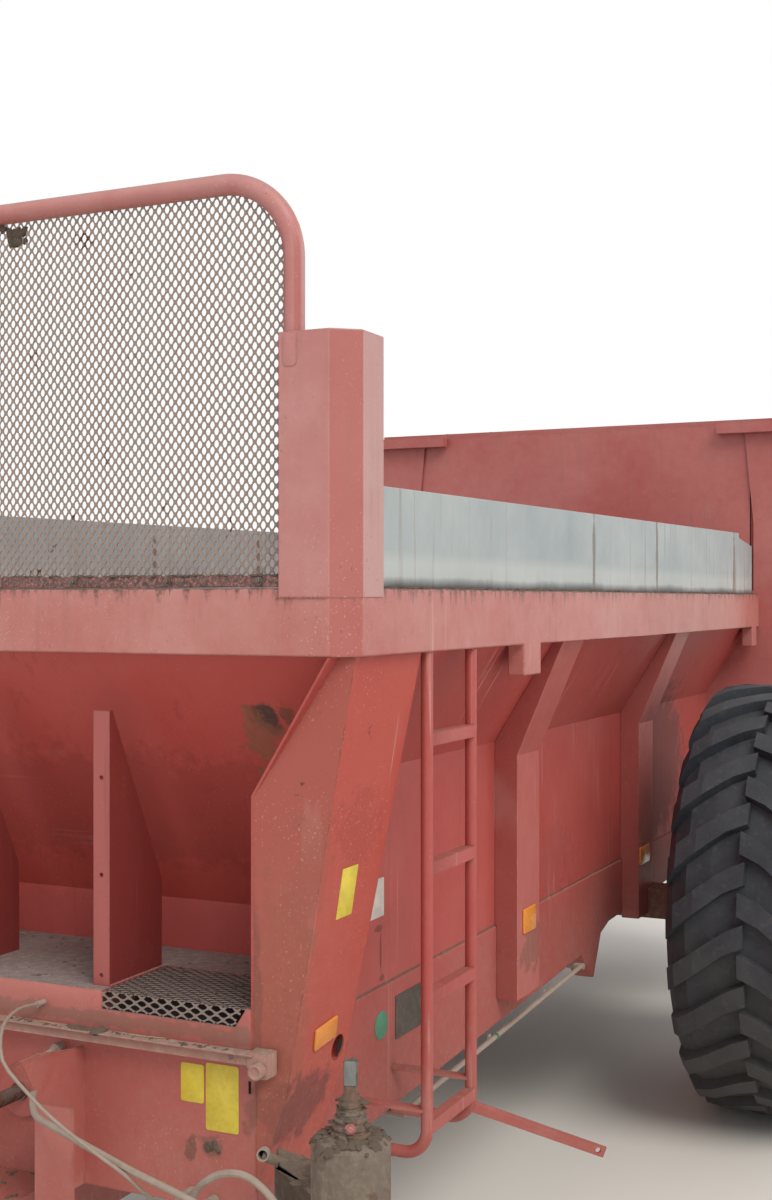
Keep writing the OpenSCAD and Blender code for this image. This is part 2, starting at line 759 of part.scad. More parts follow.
// Hydraulic lines: a pipe under the left skirt, and hoses on the front that both end at the jack
pipe_r = 8;
eye_r = 11;
pipe_drop = 26;
pipe_x0 = 750;
pipe_x1 = skirt_rear_x - 30;
pipe_y = rail_y + 10;
clip_x = [900, 1400, 1900];
hose_r = 8;
feed_route = [[24, 110, 875], [90, 122, 868], [178, 170, 835], [232, 212, 812], [250, 243, 801],
              [250, 297, 784], [250, 357, 764], [250, 430, 742], [250, 490, 724], [245, 613, 690],
              [222, 710, 645], [195, 790, 600], [182, 840, 570]];
return_route = [[24, 530, 585], [70, 534, 586], [130, 548, 596], [180, 575, 640], [200, 613, 695],
                [203, 654, 727], [205, 695, 741], [205, 729, 741], [203, 757, 729], [198, 785, 705],
                [190, 812, 668], [178, 838, 630]];
cable_route = [[24, 60, 975], [110, 72, 985], [210, 110, 975], [278, 165, 925], [292, 240, 872],
               [290, 310, 822], [280, 400, 768], [262, 470, 722], [210, 500, 660], [120, 485, 610], [24, 470, 600]];
cable_r = 4;
skirt_slope = (skirt_rear_z - rail_front_z) / (skirt_rear_x - sheet_t);
function pipe_z(x) = rail_front_z + skirt_slope * (x - sheet_t) - pipe_drop;

// A short fitting along X on the front panel
module panel_fitting(y, z, r) {
  translate([0, y, z]) rotate([0, 90, 0]) cylinder(h = 26, r = r, $fn = 24);
}

// A fitting on the jack's side, towards a hose's end
module jack_fitting(end) {
  reach = norm([end[0] - jack_x, end[1] - jack_y]);
  turn = atan2(end[1] - jack_y, end[0] - jack_x);
  translate([jack_x, jack_y, end[2]]) rotate([0, 0, turn]) translate([jack_r + seat_gap, 0, 0])
    rotate([0, 90, 0]) cylinder(h = reach - jack_r + 4, r = 13, $fn = 24);
}

module hydraulic_lines() {
  slope = atan((pipe_z(pipe_x1) - pipe_z(pipe_x0)) / (pipe_x1 - pipe_x0));
  color(board_grey) at_body() {
    translate([-pipe_x0, pipe_y, pipe_z(pipe_x0)]) rotate([0, slope - 90, 0])
      cylinder(h = (pipe_x1 - pipe_x0) / cos(slope), r = pipe_r, $fn = 24);
    for (x = [pipe_x0, pipe_x1]) crosswise(-x, pipe_z(x), rail_y - 40, pipe_y + eye_r, eye_r);
    for (x = clip_x) block([-x - 10, rail_y, pipe_z(x) - 6], [-x + 10, rail_y + 4, pipe_z(x) + 60]);
    for (route = [feed_route, return_route]) {
      hose(route, hose_r);
      panel_fitting(route[0][1], route[0][2], 13);
      jack_fitting(route[len(route) - 1]);
    }
    hose(cable_route, cable_r);
    for (end = [cable_route[0], cable_route[len(cable_route) - 1]]) panel_fitting(end[1], end[2], 7);
  }
}

beam_end = 890;
beam_plate_t = 16;
beam_plate_half = 75;
spindle_end = 1180;

module axle_beam() {
  color(dark_red) at_body() {
    block([-axle_x - axle_side / 2, -beam_end, axle_beam_z - axle_side / 2],
          [-axle_x + axle_side / 2, beam_end, axle_beam_z + axle_side / 2]);
    both_sides() {
      block([-axle_x - beam_plate_half, beam_end, axle_beam_z - axle_side / 2],
            [-axle_x + beam_plate_half, beam_end + beam_plate_t, wheel_z + beam_plate_half]);
      crosswise(-axle_x, wheel_z, beam_end + beam_plate_t, spindle_end, spindle_r);
    }
  }
}

// Tyre: a turned carcass and two rows of slanting lugs
bead_out = 241;
bead_in = 205;
flange_h = 21;
base_r = tyre_r - lug_h;

module tyre_section() {
  half = tyre_w / 2;
  flank = [[bead_r, bead_out], [bead_r + 25, bead_out], [bead_r + 150, half - 4], [bead_r + 250, half],
           [base_r - 92, half - 10], [base_r - 45, half - 40], [base_r - 8, half - 95], [base_r, half - 180]];
  cavity = [[base_r - 70, 0], [base_r - 90, 190], [bead_r + 20, bead_in - 5], [bead_r, bead_in]];
  polygon(concat(flank, [for (i = [len(flank) - 1:-1:0]) [flank[i][0], -flank[i][1]]],
                 [for (i = [len(cavity) - 1:-1:0]) [cavity[i][0], -cavity[i][1]]],
                 [for (i = [1:len(cavity) - 1]) cavity[i]]));
}

// One lug seen from outside: a bar from the middle of the tread, sweeping back to the shoulder
lug_base_r = tyre_r - 140;

module lug() {
  half = tyre_w / 2;
  linear_extrude(height = tyre_r - lug_base_r + 60)
    polygon([[40, -10], [-38, -10], [-70, 60], [-140, 150], [-232, half - 20], [-150, half - 20],
             [-52, 140], [12, 50]]);
}

// Ring that the lugs are cut to: flat in the middle, dropping to the shoulders, and inside the rubber below
module lug_envelope() {
  half = tyre_w / 2;
  polygon([[lug_base_r, -half + 12], [tyre_r - 70, -half + 22], [tyre_r - 14, -half + 60],
           [tyre_r, -half + 130], [tyre_r, half - 130], [tyre_r - 14, half - 60],
           [tyre_r - 70, half - 22], [lug_base_r, half - 12], [lug_base_r, half - 60],
           [base_r - 40, half - 150], [base_r - 40, -half + 150], [lug_base_r, -half + 60]]);
}

module lug_row(turn) {
  for (i = [0:lug_n - 1]) rotate([0, 0, (i + turn) * 360 / lug_n])
    translate([lug_base_r, 0, 0]) rotate([90, 0, 90]) lug();
}

module tyre() {
  color(black) at_body() translate([-axle_x, tyre_y, wheel_z]) rotate([90, 0, 0]) {
    rotate_extrude($fn = 72) tyre_section();
    intersection() {
      union() {
        lug_row(0);
        mirror([0, 0, 1]) lug_row(0.5);
      }
      rotate_extrude($fn = 72) lug_envelope();
    }
  }
}
module tyre_left() { tyre(); }
module tyre_right() { mirror([0, 1, 0]) tyre(); }

// Wheel: rim, dished disc, hub and brake drum, turned about the spindle
drum_y = beam_end + 24;

module wheel_section() {
  seat = bead_r - seat_gap;
  outer = [[bead_r + flange_h, bead_out + 9], [bead_r + flange_h, bead_out + seat_gap],
           [seat, bead_out + seat_gap], [seat, bead_in - 25], [bead_r - 40, bead_in - 75]];
  inner = [[bead_r - 52, bead_in - 67], [seat - 12, bead_in - 19], [seat - 12, bead_out - 3],
           [bead_r + flange_h - 12, bead_out + 9]];
  polygon(concat(outer, [for (i = [len(outer) - 1:-1:0]) [outer[i][0], -outer[i][1]]],
                 [for (i = [len(inner) - 1:-1:0]) [inner[i][0], -inner[i][1]]], inner));
  polygon([[100, 8], [185, 8], [bead_r - 55, -40], [bead_r - 44, -40], [bead_r - 44, -28],
           [188, 20], [100, 20]]);
}

module wheel() {
  color(pale_red) at_body() translate([-axle_x, 0, wheel_z]) rotate([-90, 0, 0]) difference() {
    union() {
      translate([0, 0, tyre_y]) rotate_extrude($fn = 72) wheel_section();
      translate([0, 0, drum_y]) cylinder(h = 120, r = 200, $fn = 64);
      translate([0, 0, drum_y + 120]) cylinder(h = tyre_y + 12 - drum_y - 120, r = 110, $fn = 64);
      translate([0, 0, tyre_y - 40]) cylinder(h = 90, r = 70, $fn = 64);
    }
    translate([0, 0, drum_y - 1]) cylinder(h = spindle_end + 10 - drum_y, r = spindle_r + fit, $fn = 64);
  }
}
module wheel_left() { wheel(); }
module wheel_right() { mirror([0, 1, 0]) wheel(); }

ladder_y = rim_half_w - 20;

foot_z = 592;
foot_bend = 60;
brace_z = 700;
stay_l = 372;

// Two uprights turned in under the rungs to the chassis, level braces, and a flat stay at the rear foot
module ladder() {
  color(red) at_body() {
    for (x = [ladder_x, ladder_x + ladder_w]) {
      upright(-x, ladder_y, foot_z + foot_bend, rim_bot, ladder_r);
      translate([-x, ladder_y - foot_bend, foot_z + foot_bend]) rotate([0, 90, 0])
        rotate_extrude(angle = 90, $fn = 48) translate([foot_bend, 0]) circle(r = ladder_r, $fn = 32);
      crosswise(-x, foot_z, rail_y, ladder_y - foot_bend, ladder_r);
      block([-x - 15, rail_y, brace_z - 4], [-x + 15, ladder_y - 4, brace_z + 4]);
    }
    for (i = [0:3])
      block([-ladder_x - ladder_w, ladder_y - 14, rung_z + i * rung_pitch - 16],
            [-ladder_x, ladder_y + 14, rung_z + i * rung_pitch + 16]);
    translate([-ladder_x - ladder_w, ladder_y, rung_z - 32]) rotate([0, 21, 122]) difference() {
      translate([4, -4, -14]) cube([stay_l, 8, 28]);
      translate([stay_l - 15, 10, 0]) rotate([90, 0, 0]) cylinder(h = 20, r = 7, $fn = 24);
    }
  }
}

// Rear bulkhead: a transverse plate round the body's mouth
frame_foot = 700;
side_foot_l = 300;
side_slope = 60;

module rear_bulkhead() {
  color(red) at_body() both_sides() along_x(-box_l - sheet_t, -box_l)
    polygon([[rail_y, frame_foot], [frame_half_w, frame_foot], [frame_half_w, frame_top],
             [mouth_y, frame_top], [mouth_y + mouth_flare, rim_top + 330],
             [mouth_y + mouth_flare, rim_top + 20], [mouth_y, rim_top],
             [mouth_y, rim_bot], [flare_in, rim_bot], [wall_in, fold_z + 1.5], [wall_in, floor_z],
             [low_half_w, floor_z], [low_half_w, rail_top], [rail_y, rail_top]]);
}

module rear_side_plates() {
  color(red) at_body() both_sides() along_y(frame_half_w - sheet_t, frame_half_w)
    polygon([[-box_l - sheet_t, frame_foot], [-box_l - sheet_t, frame_top],
             [-side_plate_end, frame_top - side_slope + 10], [-side_plate_end, frame_foot + side_slope],
             [-box_l - side_foot_l, frame_foot]]);
}

// Beams between the side plates: over the door, over the beaters and under them
top_beam_x = box_l + 75;
bearing_z = 2600;
bottom_beam_z = 780;
header_y = mouth_y - 119;

module rear_beams() {
  w = frame_half_w - sheet_t;
  color(dark_red) at_body() difference() {
    union() {
      block([-top_beam_x - 90, -w, frame_top - 60], [-top_beam_x, w, frame_top + 30]);
      block([-side_plate_end, -w, bearing_z], [-beater_x + rear_beam_half, w, bearing_z + 80]);
      block([-side_plate_end, -w, bottom_beam_z], [-beater_x + rear_beam_half, w, 900]);
      both_sides() {
        block([-box_l, header_y, frame_top - 45], [-box_l + 45, frame_half_w, frame_top + 5]);
        block([-side_plate_end - 55, w - 230, bottom_beam_z + 12], [-side_plate_end, w - 20, 888]);
      }
    }
    both_sides() translate([-beater_x, beater_y, 0]) {
      translate([0, 0, bottom_beam_z - 1]) cylinder(h = 200, r = 30 + fit, $fn = 48);
      translate([0, 0, bearing_z - 1]) cylinder(h = 60, r = 30 + fit, $fn = 48);
    }
  }
}

door_x = box_l + sheet_t + run_gap;
door_back = door_x + door_t;
guide_back = box_l + 60;
ear_h = 40;

module door_guides() {
  edge = door_half_w + run_gap;
  color(dark_red) at_body() both_sides() {
    block([-guide_back, edge, floor_z + 30], [-box_l - sheet_t, edge + 22, frame_top - 60]);
    block([-guide_back, edge - 45, floor_z + 30], [-door_back - run_gap, edge, frame_top - 60]);
  }
}

door_rib_d = 30;
door_rib_h = 70;
door_rib_z0 = door_z + 15;
door_rib_pitch = (frame_top - door_rib_h - 20 - door_rib_z0) / 3;
barrel_r = 32;
barrel_y = (door_half_w + frame_half_w) / 2;
barrel_x = box_l + sheet_t + seat_gap + barrel_r;
rod_r = 16;
barrel_bottom = door_z + 15;
rod_foot = barrel_bottom + 40;
barrel_top = frame_top - 260;

module door() {
  color(red) at_body() {
    block([-door_back, -door_half_w, door_z], [-door_x, door_half_w, frame_top]);
    for (k = [0:3]) translate([0, 0, door_rib_z0 + k * door_rib_pitch])
      along_y(-door_half_w + 80, door_half_w - 80)
        polygon([[-door_back, 0], [-door_back - door_rib_d, 15],
                 [-door_back - door_rib_d, door_rib_h - 15], [-door_back, door_rib_h]]);
    both_sides() block([-barrel_x - rod_r, door_half_w - 1, frame_top - ear_h],
                       [-door_x, barrel_y + rod_r, frame_top]);
  }
}

module door_barrels() {
  color(steel) at_body() both_sides() difference() {
    upright(-barrel_x, barrel_y, barrel_bottom, barrel_top, barrel_r);
    upright(-barrel_x, barrel_y, rod_foot - 10, barrel_top + 1, rod_r + fit);
  }
}

module door_rods() {
  color(steel) at_body() both_sides() upright(-barrel_x, barrel_y, rod_foot, frame_top - ear_h, rod_r);
}

beater_z0 = 912;
disc_t = 10;
beater_top = bearing_z - 12;

module beater_core() {
  color(red) at_body() translate([-beater_x, beater_y, 0]) {
    translate([0, 0, bottom_beam_z + 10]) cylinder(h = beater_z0 - bottom_beam_z, r = 30, $fn = 48);
    translate([0, 0, beater_z0]) cylinder(h = disc_t, r = disc_r, $fn = 96);
    translate([0, 0, beater_z0 + disc_t])
      cylinder(h = beater_top - beater_z0 - disc_t, r = beater_core_r, $fn = 64);
    for (a = [45:90:315]) rotate([0, 0, a])
      block([beater_core_r - 5, -6, beater_z0 + disc_t - 1], [disc_r - 6, 6, beater_z0 + disc_t + paddle_h]);
    translate([0, 0, beater_top]) cylinder(h = 60, r = 30, $fn = 48);
  }
}
module beater_core_left() { beater_core(); }
module beater_core_right() { mirror([0, 1, 0]) beater_core(); }

flight_z0 = beater_z0 + disc_t + paddle_h + 15;
flight_h = beater_top - flight_z0 - 60;
flight_t = 12;
knife_pitch = 45;

// A helical ribbon round a tube: one ring of four corners every step, joined into a closed surface.
// Of each four rings two reach out by knife_l, which makes the row of knives on the ribbon's edge.
module ribbon(tube_r, r1, h, pitch, t) {
  steps = 4 * floor(360 * h / pitch / knife_pitch);
  turn = 360 * h / pitch / steps;
  r0 = (tube_r + seat_gap) / cos(turn / 2);
  points = [for (i = [0:steps]) let (r2 = r1 + (i % 4 > 1 ? knife_l : 0))
              for (c = [[r0, 0], [r2, 0], [r2, t], [r0, t]])
                [c[0] * cos(i * turn), c[0] * sin(i * turn), i * h / steps + c[1]]];
  sides = [for (i = [0:steps - 1]) for (k = [0:3]) for (half = [0, 1])
             let (a = 4 * i + k, b = 4 * i + (k + 1) % 4) half == 0 ? [a, a + 4, b + 4] : [a, b + 4, b]];
  last = 4 * steps;
  ends = [[0, 1, 2], [0, 2, 3], [last, last + 2, last + 1], [last, last + 3, last + 2]];
  polyhedron(points = points, faces = concat(sides, ends), convexity = 10);
}

module beater_flights() {
  color(red) at_body() translate([-beater_x, beater_y, flight_z0]) for (s = [0, 180]) rotate([0, 0, s])
    ribbon(beater_core_r, flight_r, flight_h, flight_pitch, flight_t);
}
module beater_flights_left() { beater_flights(); }
module beater_flights_right() { mirror([0, 1, 0]) beater_flights(); }

box_half = 110;

module beater_gearboxes() {
  color(grime) at_body() {
    both_sides() {
      block([-beater_x - box_half, beater_y - box_half, shaft_rear_z - 80],
            [-beater_x + box_half, beater_y + box_half, bottom_beam_z]);
      crosswise(-beater_x, shaft_rear_z, box_half - 1, beater_y - box_half + 1, 45);
    }
    block([-beater_x - box_half, -box_half, shaft_rear_z - 90], [-beater_x + box_half, box_half, bottom_beam_z]);
  }
}

module drive_line() {
  run = shaft_rear - shaft_front;
  color(grime) at_body() translate([-shaft_front, 0, shaft_front_z]) rotate([0, -90 - shaft_slope, 0])
    cylinder(h = run / cos(shaft_slope), r = shaft_r, $fn = 48);
}

module pto_stub() {
  color(steel) at_body() {
    lengthwise(10 - housing_l, pto_journal_end, pto_journal_r);
    lengthwise(pto_journal_end, pto_end, pto_r);
  }
}

side_wall_left();
side_wall_right();
front_wall();
floor_plate();
rim_rail();
corner_posts();
guard_hoop();
guard_mesh();
side_boards();
corner_cheeks();
side_ribs();
front_webs();
step_platform();
step_tread();
cross_bar();
front_panel();
chassis_rails();
cross_members();
floor_conveyor();
conveyor_shafts();
drawbar();
tow_eye();
jack_cylinder();
jack_leg();
hydraulic_lines();
axle_beam();
tyre_left();
tyre_right();
wheel_left();
wheel_right();
ladder();
rear_bulkhead();
rear_side_plates();
rear_beams();
door_guides();
door();
door_barrels();
door_rods();
beater_core_left();
beater_core_right();
beater_flights_left();
beater_flights_right();
beater_gearboxes();
drive_line();
pto_stub();
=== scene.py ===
# %% [markdown]
# # A weathered manure spreader
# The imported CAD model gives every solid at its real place. This lesson dresses it: soft edges on the
# folded steel, faded and dirty paint, fine expanded metal, rubber, labels and the crumbs of dirt that
# such a machine always carries. Every length is in metres, and X points forwards, Y to the left.

# %% Load the frame
import json
import math
import random
from contextlib import contextmanager

import bpy
from mathutils import Matrix, Vector
from mathutils.bvhtree import BVHTree

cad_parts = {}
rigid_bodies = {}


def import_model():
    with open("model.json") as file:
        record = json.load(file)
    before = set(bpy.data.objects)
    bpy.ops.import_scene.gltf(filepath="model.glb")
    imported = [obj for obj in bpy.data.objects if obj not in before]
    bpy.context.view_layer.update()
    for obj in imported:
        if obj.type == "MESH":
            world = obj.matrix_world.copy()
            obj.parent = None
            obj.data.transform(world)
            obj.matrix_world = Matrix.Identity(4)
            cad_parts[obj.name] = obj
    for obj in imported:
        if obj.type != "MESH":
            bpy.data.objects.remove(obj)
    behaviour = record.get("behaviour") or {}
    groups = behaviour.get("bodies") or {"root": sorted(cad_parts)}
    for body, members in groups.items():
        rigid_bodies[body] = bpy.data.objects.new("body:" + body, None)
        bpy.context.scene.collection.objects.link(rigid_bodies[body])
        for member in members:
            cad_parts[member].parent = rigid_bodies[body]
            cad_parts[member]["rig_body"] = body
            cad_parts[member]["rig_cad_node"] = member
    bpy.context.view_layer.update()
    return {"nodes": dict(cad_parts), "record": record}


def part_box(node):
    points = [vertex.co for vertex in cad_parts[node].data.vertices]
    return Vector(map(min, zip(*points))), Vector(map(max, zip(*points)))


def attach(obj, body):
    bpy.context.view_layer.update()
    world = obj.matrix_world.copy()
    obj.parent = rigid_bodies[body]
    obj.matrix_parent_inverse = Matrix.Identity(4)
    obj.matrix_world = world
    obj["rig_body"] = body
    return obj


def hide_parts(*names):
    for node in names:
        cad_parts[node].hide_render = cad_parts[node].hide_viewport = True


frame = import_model()
nodes = frame["nodes"]
scene = bpy.context.scene

# %% [markdown]
# ## Camera
# The picture was taken from the left of the drawbar at eye height, with the camera level. Solving its
# vanishing points gave the focal length and the place. A level camera keeps the posts upright, so it needs
# no tilt: its rotation is a plain turn about Z after it has been stood up to look along the ground.

# %% Camera
SENSOR = 36.0
PHOTO_HEIGHT_PX = 1200
FOCAL_PX = 1531
CAMERA_TURN = math.radians(25.25)
CAMERA_AHEAD, CAMERA_LEFT, CAMERA_HEIGHT = 2.926, 2.333, 1.924
RIM_FACE_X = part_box("rim_rail")[1].x
camera_data = bpy.data.cameras.new("photo_camera")
camera_data.sensor_width = SENSOR
camera_data.lens = SENSOR * FOCAL_PX / PHOTO_HEIGHT_PX
camera = bpy.data.objects.new("photo_camera", camera_data)
camera.location = (RIM_FACE_X + CAMERA_AHEAD, CAMERA_LEFT, CAMERA_HEIGHT)
camera.rotation_euler = (math.pi / 2, 0, math.pi / 2 + CAMERA_TURN)
scene.collection.objects.link(camera)
scene.camera = camera


def at(x, y, z):
    """A place measured from the front face of the rim, as every place in the picture was."""
    return Vector((RIM_FACE_X + x, y, z))


print("camera at", tuple(round(c, 3) for c in camera.location), "lens", round(camera_data.lens, 2))

# %% [markdown]
# ## Shader nodes in a few words
# Writing node trees in code gets long, so small helpers carry the rest of the lesson. `add` makes a node,
# sets its fields and lets `feed` fill its inputs with values or with other nodes' sockets. The others wrap
# the nodes that nearly every finish needs: blended colours, a stretched range, products, sums and noise.

# %% Shader helpers
def feed(tree, node, inputs):
    """Fills a node's inputs, each with a value or with another node's socket."""
    for name, value in inputs.items():
        if isinstance(value, bpy.types.NodeSocket):
            tree.links.new(value, node.inputs[name])
        else:
            node.inputs[name].default_value = value
    return node


def add(tree, kind, inputs=None, **fields):
    """A new shader node. inputs maps an input's name or number to a value or a socket."""
    node = tree.nodes.new("ShaderNode" + kind)
    for field, value in fields.items():
        setattr(node, field, value)
    return feed(tree, node, inputs or {})


def blend_colours(tree, amount, below, above):
    """Mixes two colours, and returns the colour socket."""
    return add(tree, "Mix", {0: amount, 6: below, 7: above}, data_type="RGBA").outputs[2]


def remap(tree, value, low, high, to_low=0.0, to_high=1.0):
    """Stretches the range low to high onto 0 to 1, clamped."""
    inputs = {"Value": value, "From Min": low, "From Max": high, "To Min": to_low, "To Max": to_high}
    return add(tree, "MapRange", inputs).outputs["Result"]


def sums(tree, operation, first, *others):
    """Math nodes in a row: each takes the result so far and the next value."""
    for other in others:
        first = add(tree, "Math", {0: first, 1: other}, operation=operation).outputs[0]
    return first


def times(tree, *values):
    """The product of the values."""
    return sums(tree, "MULTIPLY", *values)


def plus(tree, *values):
    """The sum of the values."""
    return sums(tree, "ADD", *values)


def minus(tree, *values):
    """The first value less the others."""
    return sums(tree, "SUBTRACT", *values)


def largest(tree, *values):
    """The largest of the values."""
    return sums(tree, "MAXIMUM", *values)


def noise(tree, where, scale, detail=4.0, roughness=0.55):
    """A noise value that stays put on the object."""
    inputs = {"Vector": where, "Scale": scale, "Detail": detail, "Roughness": roughness}
    return add(tree, "TexNoise", inputs).outputs["Fac"]


def stretched(tree, where, scale):
    """Object coordinates scaled along each axis, which draws a pattern out into streaks."""
    return add(tree, "Mapping", {"Vector": where, "Scale": scale}).outputs["Vector"]


def bumped(tree, height, strength, distance):
    """A normal from a height."""
    return add(tree, "Bump", {"Height": height, "Strength": strength, "Distance": distance}).outputs["Normal"]


def object_place(tree):
    """Object coordinates: the place on the machine, which no pose and no camera changes."""
    return add(tree, "TexCoord").outputs["Object"]


def facing_up(tree):
    """How far a surface faces the sky, from -1 to 1."""
    return add(tree, "SeparateXYZ", {0: add(tree, "NewGeometry").outputs["Normal"]}).outputs["Z"]


def height_of(tree, where):
    """The height above the ground."""
    return add(tree, "SeparateXYZ", {0: where}).outputs["Z"]


def new_group(name, inputs, outputs):
    """An empty shader group. inputs and outputs map a name to (kind, default)."""
    group = bpy.data.node_groups.new(name, "ShaderNodeTree")
    for side, sockets in (("INPUT", inputs), ("OUTPUT", outputs)):
        for label, (kind, default) in sockets.items():
            socket = group.interface.new_socket(label, in_out=side, socket_type="NodeSocket" + kind)
            if default is not None:
                socket.default_value = default
    return group, group.nodes.new("NodeGroupInput").outputs, group.nodes.new("NodeGroupOutput").inputs


def rgba(red, green, blue):
    """A colour as it would be picked on screen (0 to 255), turned into the linear values of a shader."""
    def linear(c):
        c /= 255
        return c / 12.92 if c <= 0.04045 else ((c + 0.055) / 1.055) ** 2.4
    return (linear(red), linear(green), linear(blue), 1.0)


print("helpers ready; mid grey is", [round(c, 3) for c in rgba(128, 128, 128)])

# %% [markdown]
# ## Worn edges
# Paint goes first where steel is folded or cut. A Bevel node looks round each point and returns a rounded
# normal; where that differs from the real normal, there is an edge. Noise breaks the line up, so that it
# reads as chips and not as an outline. The group puts out one mask that every painted finish shares.

# %% Group: worn edges
tree, given, result = new_group(
    "worn_edges",
    {"Width": ("Float", 0.006), "Amount": ("Float", 0.5)},
    {"Mask": ("Float", None)})
where = object_place(tree)
rounded = add(tree, "Bevel", {"Radius": given["Width"]}, samples=4).outputs["Normal"]
flat_normal = add(tree, "NewGeometry").outputs["Normal"]
agree = add(tree, "VectorMath", {0: rounded, 1: flat_normal}, operation="DOT_PRODUCT").outputs["Value"]
bend = remap(tree, agree, 0.995, 0.86)
chips = remap(tree, noise(tree, where, 26.0, 6.0, 0.7), 0.40, 0.62)
tree.links.new(times(tree, bend, chips, given["Amount"]), result["Mask"])
edge_group = tree
print("worn_edges has", len(edge_group.nodes), "nodes")

# %% [markdown]
# ## Dirt that follows gravity
# Three things settle on a farm machine: splashes that thin out with height, dust on whatever faces up, and
# runs that rain draws down the sides. Height and facing are read from Object coordinates and the true
# normal, so the dirt lies where it would, on each piece alike.

# %% Group: settled dirt
tree, given, result = new_group(
    "settled_dirt",
    {"Splash Top": ("Float", 1.2), "Splash": ("Float", 0.6), "Dust": ("Float", 0.5), "Runs": ("Float", 0.3)},
    {"Mask": ("Float", None), "Clods": ("Float", None)})
where = object_place(tree)
height = height_of(tree, where)
facing = facing_up(tree)
coarse = noise(tree, where, 3.2, 8.0, 0.65)
fine = noise(tree, where, 42.0, 6.0, 0.7)
broken = plus(tree, times(tree, coarse, 0.9), times(tree, fine, 0.5))
wet = sums(tree, "DIVIDE", height, given["Splash Top"])
splash = times(tree, remap(tree, minus(tree, broken, wet), -0.30, 0.42), given["Splash"])
upward = remap(tree, facing, 0.35, 0.95)
dust = times(tree, upward, remap(tree, broken, 0.42, 0.80), given["Dust"])
drawn = noise(tree, stretched(tree, where, (34.0, 34.0, 1.6)), 1.0, 5.0, 0.6)
runs = times(tree, remap(tree, drawn, 0.54, 0.74), remap(tree, coarse, 0.40, 0.66), given["Runs"])
tree.links.new(largest(tree, splash, dust, runs), result["Mask"])
tree.links.new(remap(tree, fine, 0.45, 0.75), result["Clods"])
dirt_group = tree
print("settled_dirt has", len(dirt_group.nodes), "nodes")

# %% [markdown]
# ## Sun-bleached paint
# Old red paint chalks: it turns pink in soft clouds, most where it faces the sky. Fine pale scratches cross
# it at all angles, from forks, chains and boots. The group blends two paints and reports the scratches, so
# that the roughness can follow them.

# %% Group: bleached paint
tree, given, result = new_group(
    "bleached_paint",
    {"Paint": ("Color", (0.4, 0.08, 0.07, 1)), "Chalk": ("Color", (0.5, 0.2, 0.17, 1)),
     "Bleach": ("Float", 0.5), "Scratches": ("Float", 0.4)},
    {"Color": ("Color", None), "Marks": ("Float", None)})
where = object_place(tree)
clouds = noise(tree, where, 1.7, 7.0, 0.62)
mottle = noise(tree, where, 21.0, 5.0, 0.6)
facing = facing_up(tree)
sky = remap(tree, facing, -0.6, 0.9, 0.0, 0.35)
amount = plus(tree, remap(tree, clouds, 0.30, 0.72), sky)
amount = plus(tree, amount, remap(tree, mottle, 0.35, 0.70, -0.12, 0.12))
amount = times(tree, amount, given["Bleach"])
faded = blend_colours(tree, amount, given["Paint"], given["Chalk"])
lines = None
for turn, scale in ((0.5, 55.0), (1.9, 75.0), (2.7, 40.0)):
    turned = add(tree, "Mapping", {"Vector": where, "Rotation": (turn, turn * 0.7, turn * 1.3),
                                   "Scale": (scale, 1.3, 1.3)}).outputs["Vector"]
    line = remap(tree, noise(tree, turned, 1.0, 2.0, 0.5), 0.685, 0.72)
    lines = line if lines is None else largest(tree, lines, line)
patches = remap(tree, noise(tree, where, 2.9, 3.0, 0.5), 0.46, 0.60)
marks = times(tree, lines, patches, given["Scratches"])
pale = blend_colours(tree, 0.55, given["Chalk"], rgba(214, 176, 168))
tree.links.new(blend_colours(tree, marks, faded, pale), result["Color"])
tree.links.new(marks, result["Marks"])
bleach_group = tree
print("bleached_paint has", len(bleach_group.nodes), "nodes")

# %% [markdown]
# ## Rust
# Rust blooms in spots and creeps from bare edges. One group gives the spots' mask and a colour that runs
# from dark brown to orange inside them.

# %% Group: rust
tree, given, result = new_group(
    "rust_bloom",
    {"Spread": ("Float", 0.3), "Scale": ("Float", 9.0)},
    {"Mask": ("Float", None), "Color": ("Color", None)})
where = object_place(tree)
bloom = noise(tree, where, given["Scale"], 9.0, 0.72)
edge = minus(tree, 0.78, times(tree, given["Spread"], 0.34))
high = plus(tree, edge, 0.035)
spots = add(tree, "MapRange", {"Value": bloom, "From Min": edge, "From Max": high}).outputs["Result"]
grain = noise(tree, where, 130.0, 4.0, 0.7)
tint = blend_colours(tree, remap(tree, grain, 0.36, 0.66), rgba(58, 36, 28), rgba(122, 70, 44))
tree.links.new(spots, result["Mask"])
tree.links.new(tint, result["Color"])
rust_group = tree
print("rust_bloom has", len(rust_group.nodes), "nodes")
